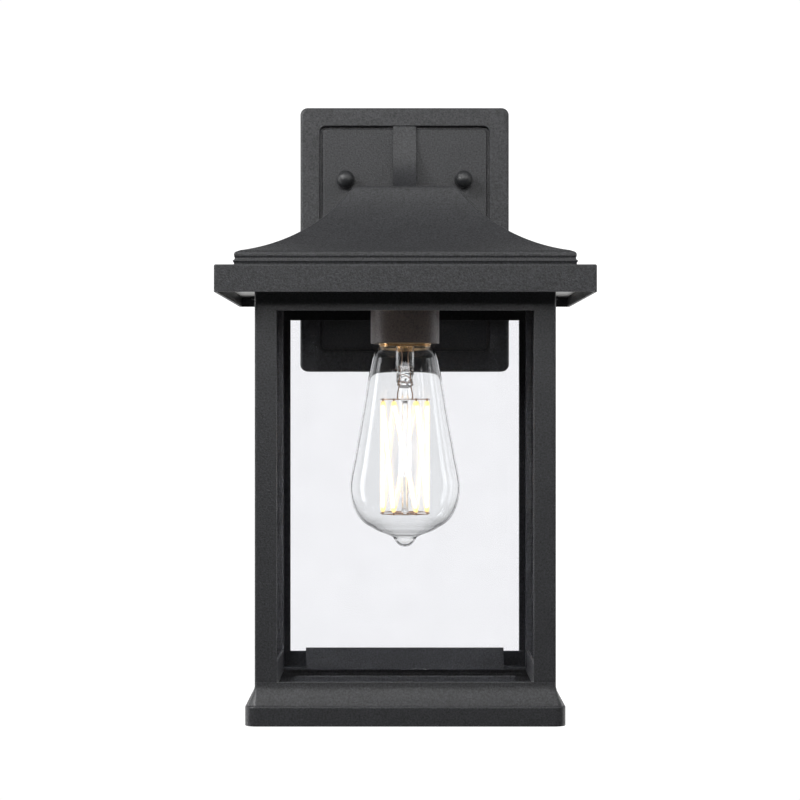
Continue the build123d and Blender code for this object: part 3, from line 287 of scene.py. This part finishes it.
def foam_finish(name, colour):
    """Closed-cell foam: small round pits."""
    material, tree, shader = new_material(name)
    shader.inputs["Roughness"].default_value = 0.9
    place = add(tree, "ShaderNodeTexCoord")
    cells = add(tree, "ShaderNodeTexVoronoi", Scale=1300.0)
    tree.links.new(place.outputs["Object"], cells.inputs["Vector"])
    tree.links.new(shaded(tree, colour, ranged(tree, cells.outputs["Distance"], 0.7, 1.2, 0.0, 0.8)),
                   shader.inputs["Base Color"])
    bumped(tree, shader, [(cells.outputs["Distance"], 0.6, 0.0002)])
    return material


def lets_lamps_through(material, tree, shader, shade):
    """Glass that shadow rays pass, tinted by the shade."""
    output = tree.nodes["Material Output"]
    path = add(tree, "ShaderNodeLightPath")
    clear = add(tree, "ShaderNodeBsdfTransparent", Color=(*shade, 1.0))
    mix = add(tree, "ShaderNodeMixShader")
    tree.links.new(path.outputs["Is Shadow Ray"], mix.inputs[0])
    tree.links.new(shader.outputs[0], mix.inputs[1])
    tree.links.new(clear.outputs[0], mix.inputs[2])
    tree.links.new(mix.outputs[0], output.inputs["Surface"])
    return material


def glass(name, colour, ior=1.5, ripple=0.0, ripple_scale=60.0, shade=(0.95, 0.95, 0.95)):
    """Clear glass, with a slow ripple where it is blown or rolled."""
    material, tree, shader = new_material(name)
    shader.inputs["Roughness"].default_value = 0.0
    shader.inputs["IOR"].default_value = ior
    shader.inputs["Transmission Weight"].default_value = 1.0
    streak = object_noise(tree, ripple_scale, 1.0)
    tree.links.new(shaded(tree, colour, ranged(tree, streak, 0.985, 1.0)), shader.inputs["Base Color"])
    if ripple:
        bumped(tree, shader, [(streak, ripple, 0.0006)])
    return lets_lamps_through(material, tree, shader, shade)


def glowing(name, colour, light, strength, vary=0.15):
    """Lit phosphor with a slight unevenness along its length."""
    material, tree, shader = new_material(name)
    shader.inputs["Roughness"].default_value = 0.5
    chips = object_noise(tree, 700.0, 1.0)
    tree.links.new(shaded(tree, colour, ranged(tree, chips, 1.0 - vary, 1.0)), shader.inputs["Base Color"])
    shader.inputs["Emission Color"].default_value = (*light, 1.0)
    tree.links.new(ranged(tree, chips, strength * (1.0 - vary), strength * (1.0 + vary)),
                   shader.inputs["Emission Strength"])
    return material


CHIP_INNER_GLOW = 0.36
SLEEVE_OPACITY = 0.42


def chip_row(name, colour, light, strength):
    """Light rod whose chips face away from the lamp's axis, so its inner side is dimmer."""
    material = glowing(name, colour, light, strength)
    tree = material.node_tree
    shader = tree.nodes["Principled BSDF"]
    place = add(tree, "ShaderNodeTexCoord")
    outward = add(tree, "ShaderNodeVectorMath", {"operation": "MULTIPLY_ADD"})
    outward.inputs[1].default_value = (1.0, 1.0, 0.0)
    outward.inputs[2].default_value = -AXIS
    turn = add(tree, "ShaderNodeVectorMath", {"operation": "NORMALIZE"})
    facing = add(tree, "ShaderNodeVectorMath", {"operation": "DOT_PRODUCT"})
    surface = add(tree, "ShaderNodeNewGeometry")
    tree.links.new(place.outputs["Object"], outward.inputs[0])
    tree.links.new(outward.outputs["Vector"], turn.inputs[0])
    tree.links.new(turn.outputs["Vector"], facing.inputs[0])
    tree.links.new(surface.outputs["Normal"], facing.inputs[1])
    side = ranged(tree, facing.outputs["Value"], CHIP_INNER_GLOW, 1.0, -0.5, 0.3)
    glow = shader.inputs["Emission Strength"].links[0].from_socket
    tree.links.new(combined(tree, "MULTIPLY", glow, side), shader.inputs["Emission Strength"])
    return material


def filament_coat(name):
    """Thin translucent phosphor sleeve, warmer and denser than the light inside it."""
    material = glowing(name, (1.0, 0.76, 0.58), (1.0, 0.70, 0.50), 0.80)
    shader = material.node_tree.nodes["Principled BSDF"]
    shader.inputs["Alpha"].default_value = SLEEVE_OPACITY
    return material


FINISHES = {
    "powder_coat": powder_coat("powder_coat", (0.0235, 0.0242, 0.0268), 0.40),
    "bronze_black": powder_coat("bronze_black", (0.115, 0.086, 0.074), 0.36, 0.45),
    "ball_nut": powder_coat("ball_nut", (0.026, 0.027, 0.029), 0.34, 0.15, 1900.0),
    "zinc_steel": brushed("zinc_steel", (0.62, 0.62, 0.60), 0.34),
    "black_screw": plain_finish("black_screw", (0.035, 0.035, 0.037), 0.38, 0.6),
    "green_screw": plain_finish("green_screw", (0.05, 0.30, 0.10), 0.35, 0.7),
    "tinned_lug": plain_finish("tinned_lug", (0.72, 0.72, 0.70), 0.30, 1.0),
    "black_rubber": plain_finish("black_rubber", (0.018, 0.018, 0.019), 0.65),
    "foam": foam_finish("foam", (0.045, 0.045, 0.047)),
    "clear_pane": glass("clear_pane", (0.947, 0.949, 0.965), 1.5, shade=(0.85, 0.855, 0.87)),
    "white_plastic": plain_finish("white_plastic", (0.80, 0.80, 0.77), 0.42),
    "porcelain": plain_finish("porcelain", (0.84, 0.82, 0.77), 0.55, depth=0.00006),
    "brass_shell": plain_finish("brass_shell", (0.82, 0.61, 0.27), 0.24, 1.0),
    "black_wire": plain_finish("black_wire", (0.020, 0.020, 0.021), 0.40),
    "white_wire": plain_finish("white_wire", (0.80, 0.80, 0.78), 0.42),
    "green_wire": plain_finish("green_wire", (0.05, 0.33, 0.12), 0.40),
    "orange_plastic": plain_finish("orange_plastic", (0.84, 0.32, 0.05), 0.38),
    "lamp_glass": glass("lamp_glass", (0.992, 0.998, 0.996), 1.38, 0.10, 35.0),
    "lamp_cap": plain_finish("lamp_cap", (0.86, 0.60, 0.33), 0.16, 1.0),
    "black_glass": plain_finish("black_glass", (0.015, 0.015, 0.018), 0.12),
    "solder": plain_finish("solder", (0.75, 0.75, 0.74), 0.28, 1.0, 400.0),
    "circuit_board": plain_finish("circuit_board", (0.08, 0.30, 0.14), 0.42),
    "copper_wire": plain_finish("copper_wire", (0.52, 0.34, 0.24), 0.30, 1.0),
    "light_rod": chip_row("light_rod", (1.0, 0.95, 0.86), (1.0, 0.92, 0.78), 2.4),
}
STEM_GLASS = glass("stem_glass", (0.97, 0.98, 0.975), 1.5, 0.35, 240.0)
PINCH_GLASS = glass("pinch_glass", (0.97, 0.97, 0.95), 1.55, 0.9, 420.0)
FILAMENT_TIP = glowing("filament_tip", (1.0, 0.86, 0.30), (1.0, 0.84, 0.24), 1.0)
FILAMENT_COAT = filament_coat("filament_coat")


CAD_SHARP_ANGLE = 30.0


def dress_cad_nodes():
    """Every CAD node takes the finish of its slot, and smooth shading between its sharp edges."""
    for part in frame["record"]["subparts"]:
        mesh = NODES[part["node"]].data
        mesh.materials.clear()
        mesh.materials.append(FINISHES[part["material_slot"]])
    for node in NODES.values():
        node.data.shade_smooth()
        node.data.set_sharp_from_angle(angle=math.radians(CAD_SHARP_ANGLE))


# ---- mesh helpers ----

ON_AXIS = 1e-6
WELD = 0.002 * MM
FLAT_ANGLE = 0.6
CREASE_ANGLE = 35.0


def finished(name, bm, body, slot, material=None, replaces=(), sharp=40.0):
    """Turns a bmesh into a piece that rides on a body."""
    bmesh.ops.recalc_face_normals(bm, faces=bm.faces)
    mesh = bpy.data.meshes.new(name)
    bm.to_mesh(mesh)
    bm.free()
    mesh.shade_smooth()
    mesh.set_sharp_from_angle(angle=math.radians(sharp))
    mesh.materials.append(material or FINISHES[slot])
    piece = bpy.data.objects.new(name, mesh)
    bpy.context.scene.collection.objects.link(piece)
    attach(piece, body)
    if replaces:
        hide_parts(*replaces)
    return piece


def smooth_path(points, steps):
    """Points along a Catmull-Rom curve through the given ones."""
    ends = [2 * points[0] - points[1], *points, 2 * points[-1] - points[-2]]
    path = []
    for p0, p1, p2, p3 in zip(ends, ends[1:], ends[2:], ends[3:]):
        for step in range(steps):
            t = step / steps
            path.append(0.5 * (2 * p1 + (p2 - p0) * t + (2 * p0 - 5 * p1 + 4 * p2 - p3) * t * t
                               + (3 * p1 - p0 - 3 * p2 + p3) * t ** 3))
    return path + [points[-1]]


def profile(points_mm, steps=8):
    """Smooth outline in radius and height, from millimetres."""
    return smooth_path([Vector(p) * MM for p in points_mm], steps)


def arc_points(middle, radius, first, last, steps=6):
    """Points along an arc in a cross-section, from one angle in degrees to another."""
    turns = (math.radians(first + (last - first) * step / steps) for step in range(steps + 1))
    return [(middle[0] + radius * math.cos(a), middle[1] + radius * math.sin(a)) for a in turns]


def varied_ring(bm, radius_at, z, segments):
    """Ring of vertices about the axis whose radius varies with the angle."""
    ring = []
    for index in range(segments):
        angle = 2 * math.pi * index / segments
        r = radius_at(angle)
        ring.append(bm.verts.new((AXIS.x + r * math.cos(angle), AXIS.y + r * math.sin(angle), z)))
    return ring


def round_ring(bm, r, z, segments):
    """Round ring of vertices about the axis."""
    return varied_ring(bm, lambda angle: r, z, segments)


def bridge(bm, one, two):
    """Quads between two rings of the same size."""
    count = len(one)
    for index in range(count):
        after = (index + 1) % count
        bm.faces.new((one[index], one[after], two[after], two[index]))


def bridge_all(bm, rings):
    """Quads from each ring to the next."""
    for one, two in zip(rings, rings[1:]):
        bridge(bm, one, two)


def spun(bm, outline, segments):
    """Surface of revolution; a point on the axis closes it. Returns its first ring."""
    first, before, pole = None, None, None
    for r, z in outline:
        if r < ON_AXIS:
            pole = bm.verts.new((AXIS.x, AXIS.y, z))
            if before:
                close_fan(bm, before, pole)
                break
            continue
        ring = round_ring(bm, r, z, segments)
        if before:
            bridge(bm, before, ring)
        elif pole:
            close_fan(bm, ring, pole)
        first = first or ring
        before = ring
    return first


def close_fan(bm, ring, pole):
    for index, vert in enumerate(ring):
        bm.faces.new((vert, ring[(index + 1) % len(ring)], pole))


def tube(bm, path, radii, sides=12):
    """Round tube along a path with a radius at each point, capped at both ends."""
    if not isinstance(radii, (list, tuple)):
        radii = [radii] * len(path)
    rings, up = [], None
    for index, (point, radius) in enumerate(zip(path, radii)):
        ahead = path[min(index + 1, len(path) - 1)] - path[max(index - 1, 0)]
        ahead.normalize()
        if up is None:
            up = ahead.orthogonal().normalized()
        up = (up - ahead * up.dot(ahead)).normalized()
        across = ahead.cross(up)
        rings.append([bm.verts.new(point + (up * math.cos(a) + across * math.sin(a)) * radius)
                      for a in (2 * math.pi * s / sides for s in range(sides))])
    close_ends(bm, rings)


def close_ends(bm, rings):
    """Bridges the rings and caps the first and the last."""
    bridge_all(bm, rings)
    bm.faces.new(rings[0])
    bm.faces.new(rings[-1])


def softened(node, width, segments=3):
    """Copy of a CAD node of the lantern's body with its sharp edges rounded off."""
    bm = bmesh.new()
    bm.from_mesh(NODES[node].data)
    bmesh.ops.remove_doubles(bm, verts=bm.verts, dist=WELD)
    bmesh.ops.dissolve_limit(bm, angle_limit=math.radians(FLAT_ANGLE), verts=bm.verts, edges=bm.edges)
    sharp = [e for e in bm.edges if len(e.link_faces) == 2
             and e.calc_face_angle(0.0) > math.radians(CREASE_ANGLE)]
    bmesh.ops.bevel(bm, geom=sharp, offset=width * MM, segments=segments, profile=0.5,
                    affect="EDGES", clamp_overlap=True, offset_type="OFFSET")
    bmesh.ops.triangulate(bm, faces=[f for f in bm.faces if len(f.verts) > 4])
    slot = next(p["material_slot"] for p in frame["record"]["subparts"] if p["node"] == node)
    piece = finished(f"{node}_skin", bm, "lantern", slot, replaces=(node,))
    shading = piece.modifiers.new("flats_stay_flat", "WEIGHTED_NORMAL")
    shading.keep_sharp = True


# ---- lamp ----

ENVELOPE_SEGMENTS = 128
LAMP_OUTLINE = [(12.2, -99.0), (12.3, -105.0), (15.0, -107.8), (18.3, -112.0), (20.6, -122.0),
                (25.3, -150.0), (28.9, -170.0), (32.0, -190.5), (27.4, -206.0), (18.0, -213.6),
                (9.8, -217.0), (6.9, -218.5), (5.9, -220.3), (3.4, -222.96), (0.0, -223.9)]
LAMP_INSIDE = [(0.0, -222.7), (2.6, -222.0), (4.6, -220.2), (5.4, -218.6), (8.0, -216.9),
               (17.6, -212.3), (26.4, -205.3), (31.1, -190.5), (28.0, -170.0), (24.4, -150.0),
               (19.7, -122.0), (17.4, -112.4), (14.0, -108.4), (11.4, -105.0), (11.3, -99.0)]


def lamp_envelope():
    """Blown pear with a thicker bottom and a hollow sealed tip."""
    bm = bmesh.new()
    outside = profile(LAMP_OUTLINE)
    outside[-1].x = 0.0
    inside = profile(LAMP_INSIDE)
    inside[0].x = 0.0
    outer_end = spun(bm, outside, ENVELOPE_SEGMENTS)
    inner_start = spun(bm, inside[::-1], ENVELOPE_SEGMENTS)
    bridge(bm, outer_end, inner_start)
    finished("bulb_envelope", bm, "bulb", "lamp_glass", replaces=("bulb_glass",), sharp=60.0)


THREAD_PITCH = 3.629
THREAD_TOP = -86.0
THREAD_TURNS = 5
THREAD_ROWS = 90
THREAD_FADE = 1.4
CAP_ROOT = 12.6
CAP_CREST = 13.1
CAP_SEGMENTS = 96
CAP_SHOULDER = [(7.6, -84.3), (8.2, -84.25), (8.8, -84.45), (11.6, -85.6), (12.3, -85.9)]
CAP_SKIRT = [(12.9, -104.7), (13.4, -105.35)]
CAP_BEAD_R = 0.62
CAP_BEADS = [(15.3, -106.15), (15.0, -107.45)]
CAP_INSIDE = [(14.6, -107.7), (12.6, -105.6), (12.0, -104.0), (12.0, -90.0), (7.6, -86.0)]


def thread_radius(z_mm, angle):
    """Radius of a knuckle thread, fading out at both ends."""
    depth = (THREAD_TOP - z_mm) / THREAD_PITCH
    wave = 0.5 - 0.5 * math.cos(2 * math.pi * (depth + angle / (2 * math.pi)))
    fade = min(1.0, max(0.0, depth * THREAD_FADE), max(0.0, (THREAD_TURNS - depth) * THREAD_FADE))
    return (CAP_ROOT + (CAP_CREST - CAP_ROOT) * wave * fade) * MM


def lamp_cap():
    """Screw cap with a helical thread and two rolled beads at its mouth."""
    bm = bmesh.new()
    rings = [round_ring(bm, r * MM, z * MM, CAP_SEGMENTS) for r, z in CAP_SHOULDER]
    for row in range(THREAD_ROWS + 1):
        z = THREAD_TOP - 0.1 - row / THREAD_ROWS * (THREAD_TURNS * THREAD_PITCH)
        rings.append(varied_ring(bm, lambda angle: thread_radius(z, angle), z * MM, CAP_SEGMENTS))
    mouth = list(CAP_SKIRT)
    for outer, middle in CAP_BEADS:
        mouth += arc_points((outer - CAP_BEAD_R, middle), CAP_BEAD_R, 75, -75)
    rings += [round_ring(bm, r * MM, z * MM, CAP_SEGMENTS) for r, z in mouth + CAP_INSIDE]
    bridge_all(bm, rings)
    bridge(bm, rings[-1], rings[0])
    finished("bulb_screw_cap", bm, "bulb", "lamp_cap", replaces=("bulb_cap",), sharp=50.0)


STEM_R = 5.5
STEM_BORE = 4.5
STEM_TOP = -98.5
STEM_SEGMENTS = 48
PINCH_TOP = -122.0
PINCH_BOTTOM = -131.5
PINCH_LUMPS = 0.30
PINCH_STEP = 0.35
PINCH_RINGS = 38
ROD_R = 1.8
ROD_COLLAR_R = ROD_R + 0.7


def stem_section(z_mm):
    """Half-widths along X and Y and squareness of the stem's outside at a height."""
    if z_mm > PINCH_TOP + 3:
        return STEM_R, STEM_R, 2.0
    if z_mm > PINCH_TOP:
        t = (PINCH_TOP + 3 - z_mm) / 3
        return STEM_R - 1.1 * t, STEM_R - 3.0 * t, 2.0 + 1.4 * t
    if z_mm > PINCH_BOTTOM + 1.5:
        return 4.4, 2.5, 3.4
    t = min(1.0, (PINCH_BOTTOM + 1.5 - z_mm) / 2.5)
    return 4.4 + (ROD_R - 4.4) * t, 2.5 + (ROD_R - 2.5) * t, 3.4 - 1.4 * t


def stem_ring(bm, z_mm):
    """Superellipse ring of the stem, with lumps where the glass was pinched."""
    a, b, power = stem_section(z_mm)
    lump = 0.0 if z_mm > PINCH_TOP + 2 or z_mm < PINCH_BOTTOM else PINCH_LUMPS
    ring = []
    for index in range(STEM_SEGMENTS):
        angle = 2 * math.pi * index / STEM_SEGMENTS
        c, s = math.cos(angle), math.sin(angle)
        x = a * math.copysign(abs(c) ** (2 / power), c)
        y = b * math.copysign(abs(s) ** (2 / power), s)
        swell = 1.0 + lump * noise.noise(Vector((x * 0.9, y * 0.9, z_mm * 0.55)))
        ring.append(bm.verts.new((AXIS.x + x * swell * MM, AXIS.y + y * swell * MM, z_mm * MM)))
    return ring


def stem_tube():
    """Flared glass tube inside the cap, open at both ends."""
    bm = bmesh.new()
    foot = PINCH_TOP + 3.2
    outline = [(4.4, STEM_TOP), (5.5, STEM_TOP), (11.0, STEM_TOP), (11.0, -99.3), (8.2, -100.4),
               (6.2, -102.6), (STEM_R, -105.5), (STEM_R, -112.0), (STEM_R, foot),
               (STEM_BORE, foot), (STEM_BORE, -112.0)]
    rings = [round_ring(bm, r * MM, z * MM, STEM_SEGMENTS) for r, z in outline]
    bridge_all(bm, rings)
    bridge(bm, rings[-1], rings[0])
    finished("bulb_stem_tube", bm, "bulb", "lamp_glass", STEM_GLASS, ("bulb_stem",), 60.0)


def stem_pinch():
    """Lumpy flattened glass that seals the leads."""
    bm = bmesh.new()
    top = PINCH_TOP + 3.0
    close_ends(bm, [stem_ring(bm, top - PINCH_STEP * step) for step in range(PINCH_RINGS)])
    finished("bulb_stem_pinch", bm, "bulb", "lamp_glass", PINCH_GLASS, ("bulb_stem",), 60.0)


def stem_rod():
    """Glass rod down the middle, with a collar at each ring of the filament basket."""
    bm = bmesh.new()
    low = rings_low.z / MM
    outline = [(0.0, low - 1.0), (1.0, low - 0.9), (ROD_R + 0.4, low - 0.1), (ROD_COLLAR_R, low + 0.8),
               (ROD_R + 0.2, low + 1.7), (ROD_R, low + 2.8), (ROD_R, -170.0), (ROD_R, -141.0),
               (ROD_R + 0.4, -139.4), (ROD_COLLAR_R, -138.3), (ROD_R + 0.4, -137.2), (ROD_R, -135.8),
               (ROD_R, -132.2), (0.0, -132.0)]
    spun(bm, [Vector(p) * MM for p in outline], 32)
    finished("bulb_centre_rod", bm, "bulb", "lamp_glass", STEM_GLASS, ("bulb_stem",), 60.0)


LEAD_R = 0.33
ANCHOR_R = 0.30


def lamp_wires():
    """Copper leads that leave the pinch and spread to the upper ring, and two anchor wires."""
    bm = bmesh.new()
    for side in (-1, 1):
        route = [(2.4 * side, 0.0, -94.0), (2.9 * side, 0.3, -104.0), (1.7 * side, 0.4, -113.0),
                 (2.4 * side, 0.0, -121.0), (3.0 * side, 0.0, -126.5), (3.6 * side, -0.2, -131.8),
                 (4.3 * side, -0.4, -135.0), (4.4 * side, 0.0, rings_high.z / MM - 0.3)]
        tube(bm, smooth_path([AXIS + Vector(p) * MM for p in route], 5), LEAD_R * MM, 10)
    for z, reach, drop in ((-124.6, 3.4, 0.9), (-128.6, 2.6, -1.3)):
        route = [(-reach, -1.2, z), (-1.0, -1.7, z + 0.6), (1.1, -1.6, z - 0.3), (reach, -0.9, z - drop)]
        tube(bm, smooth_path([AXIS + Vector(p) * MM for p in route], 5), ANCHOR_R * MM, 8)
    finished("bulb_leads", bm, "bulb", "copper_wire", replaces=("bulb_lead_wires",))


RING_R = 14.3
RING_STEPS = 72
RING_WIRE_R = 0.26
SPOKE_R = 0.28
SPOKE_START = 1.4
HOOK_R = 0.38
HOOK_LENGTH = 1.0
FILAMENTS = 8
FILAMENT_STAGGER = 4.5
FILAMENT_CORE_R = 1.05
FILAMENT_COAT_R = 1.6
FILAMENT_TIP_LENGTH = 2.6
# Stations along a sleeve as a share of its length, and along a tip as a share of the tip's,
# each with the radius there as a share of FILAMENT_COAT_R
COAT_STATIONS = [(0.0, 0.45), (0.01, 0.75), (0.03, 0.92), (0.06, 1.0),
                 (0.94, 1.0), (0.97, 0.92), (0.99, 0.75), (1.0, 0.45)]
TIP_STATIONS = [(0.02, 0.35), (0.2, 0.68), (0.6, 0.86), (1.0, 0.80)]


def filament_place(index):
    """Where a filament's end sits on its ring."""
    stagger = FILAMENT_STAGGER if index % 2 == 0 else -FILAMENT_STAGGER
    angle = math.radians((index + 0.5) * 360 / FILAMENTS + stagger)
    return AXIS + Vector((math.cos(angle), math.sin(angle), 0)) * RING_R * MM


def wire_ring(bm, z, spokes, hook):
    """Ring wire with spokes to the rod and a short hook at each filament."""
    lift = Vector((0, 0, z))
    loop = [AXIS + Vector((math.cos(a), math.sin(a), 0)) * RING_R * MM + lift
            for a in (2 * math.pi * step / RING_STEPS for step in range(RING_STEPS + 1))]
    tube(bm, loop, RING_WIRE_R * MM, 8)
    for index in range(spokes):
        angle = 2 * math.pi * index / spokes + math.pi / 4
        out = Vector((math.cos(angle), math.sin(angle), 0))
        tube(bm, [AXIS + out * SPOKE_START * MM + lift, AXIS + out * RING_R * MM + lift], SPOKE_R * MM, 8)
    for index in range(FILAMENTS):
        place = filament_place(index) + lift
        tube(bm, [place - Vector((0, 0, 0.5 * hook)), place + Vector((0, 0, hook))], HOOK_R * MM, 8)


def sleeve(bm, start, way, stations, sides):
    """Round sleeve from a start along a way, through its stations."""
    tube(bm, [start + way * along for along, _ in stations],
         [FILAMENT_COAT_R * MM * width for _, width in stations], sides)


def lamp_filaments():
    """Glowing rods, each a bright core in a translucent sleeve with yellow ends."""
    upper, lower = rings_high.z - 0.35 * MM, rings_low.z + 0.35 * MM
    bm = bmesh.new()
    wire_ring(bm, upper, 2, -HOOK_LENGTH * MM)
    wire_ring(bm, lower, 4, HOOK_LENGTH * MM)
    finished("bulb_rings", bm, "bulb", "copper_wire", replaces=("bulb_support_wires",))
    cores, coats, tips = bmesh.new(), bmesh.new(), bmesh.new()
    for index in range(FILAMENTS):
        high = filament_place(index) + Vector((0, 0, upper - 1.1 * MM))
        low = filament_place(index + 1) + Vector((0, 0, lower + 1.1 * MM))
        tip = (low - high).normalized() * FILAMENT_TIP_LENGTH * MM
        tube(cores, [high + tip * 0.8, low - tip * 0.8], FILAMENT_CORE_R * MM, 16)
        sleeve(coats, high, low - high, COAT_STATIONS, 20)
        sleeve(tips, high, tip, TIP_STATIONS, 16)
        sleeve(tips, low, -tip, TIP_STATIONS, 16)
    finished("bulb_filament_cores", cores, "bulb", "light_rod", replaces=("bulb_filaments",))
    finished("bulb_filament_coats", coats, "bulb", "light_rod", FILAMENT_COAT, ("bulb_filaments",))
    finished("bulb_filament_tips", tips, "bulb", "light_rod", FILAMENT_TIP, ("bulb_filaments",))


# ---- housing ----

BELL_ARC_X = 109.2
BELL_ARC_Z = 37.7
BELL_ARC_R = 96.9
BELL_WALL = 2.0
BELL_HIP_R = 0.8
BELL_CROWN = [(28.3, -17.0), (29.2, -17.3)]
BELL_SLOPE = (-18.0, -57.2)
BELL_INSIDE = (-19.0, -58.9)
BELL_INSIDE_FOOT = -60.6
BELL_FOOT_WALL = 3.2
# Nose, cove and bead, each an arc: middle, radius, first and last angle in degrees
BELL_MOULDING = [((91.0, -59.9), 2.0, 78, -15),
                 ((94.3, -61.7), 1.7, 142, 215),
                 ((92.95, -63.3), 0.65, 105, -70)]
BELL_TUCK = [(93.0, -64.5), (93.0, -65.7)]


def bell_slope(z_top, z_foot, wall=0.0, steps=28):
    """Points down the bell's arc, evenly turned, in millimetres."""
    radius = BELL_ARC_R + wall
    first, last = (math.asin((BELL_ARC_Z - z) / radius) for z in (z_top, z_foot))
    turns = (first + (last - first) * step / steps for step in range(steps + 1))
    return [(BELL_ARC_X - radius * math.cos(a), BELL_ARC_Z - radius * math.sin(a)) for a in turns]


def square_ring(bm, half, z, corner, segments=4, support=0.5):
    """Square ring of vertices about the axis, with rounded corners; sizes in millimetres."""
    ring = []
    core = half - corner
    for quarter in range(4):
        spots = [(half, core - support)]
        spots += [(core + corner * math.cos(a), core + corner * math.sin(a))
                  for a in (math.pi / 2 * step / segments for step in range(segments + 1))]
        spots.append((core - support, half))
        turn = Matrix.Rotation(math.pi / 2 * quarter, 2)
        for spot in spots:
            x, y = turn @ Vector(spot)
            ring.append(bm.verts.new((AXIS.x + x * MM, AXIS.y + y * MM, z * MM)))
    return ring


def roof_bell():
    """Hollow bell with a rounded nose, a cove and a bead round its foot."""
    outline = BELL_CROWN + bell_slope(*BELL_SLOPE)
    for arc in BELL_MOULDING:
        outline += arc_points(*arc)
    outline += BELL_TUCK
    foot_half, foot_z = BELL_TUCK[-1]
    foot_half -= BELL_FOOT_WALL
    outline += [(foot_half, foot_z), (foot_half, BELL_INSIDE_FOOT)]
    outline += bell_slope(*BELL_INSIDE, BELL_WALL)[::-1]
    bm = bmesh.new()
    close_ends(bm, [square_ring(bm, half, z, BELL_HIP_R) for half, z in outline])
    finished("roof_bell_skin", bm, "lantern", "powder_coat", replaces=("roof_bell",))


# Nodes that get rounded edges, with the width of the rounding
SOFT_EDGES = {
    "roof_fascia": 0.7,
    "cage_top_ring": 0.4,
    "base_skirt": 0.5,
    "glass_stop_pan": 0.3,
    "support_arm": 0.5,
    "corner_post_front_left": 0.6,
    "corner_post_front_right": 0.6,
    "corner_post_rear_left": 0.6,
    "corner_post_rear_right": 0.6,
}


def make_housing():
    for node, width in SOFT_EDGES.items():
        softened(node, width)


def make_floor():
    """Pale studio floor, far below because the lantern hangs on a wall."""
    bm = bmesh.new()
    z = cad_low.z - FLOOR_DROP
    corners = [(-1, -1), (1, -1), (1, 1), (-1, 1)]
    bm.faces.new([bm.verts.new((sx * FLOOR_HALF, sy * FLOOR_HALF, z)) for sx, sy in corners])
    mesh = bpy.data.meshes.new("studio_floor")
    bm.to_mesh(mesh)
    bm.free()
    material, tree, shader = new_material("studio_floor")
    shader.inputs["Roughness"].default_value = 0.9
    tree.links.new(shaded(tree, FLOOR_COLOUR, ranged(tree, object_noise(tree, 3.0), 0.99, 1.0)),
                   shader.inputs["Base Color"])
    shader.inputs["Emission Color"].default_value = (1.0, 1.0, 1.0, 1.0)
    tree.links.new(seen_directly(tree), shader.inputs["Emission Strength"])
    mesh.materials.append(material)
    floor = bpy.data.objects.new("studio_floor", mesh)
    bpy.context.scene.collection.objects.link(floor)


bpy.context.scene.view_settings.view_transform = "Standard"
make_camera()
make_world()
make_lights()
make_floor()
dress_cad_nodes()
make_housing()
roof_bell()
lamp_envelope()
lamp_cap()
stem_tube()
stem_pinch()
stem_rod()
lamp_wires()
lamp_filaments()
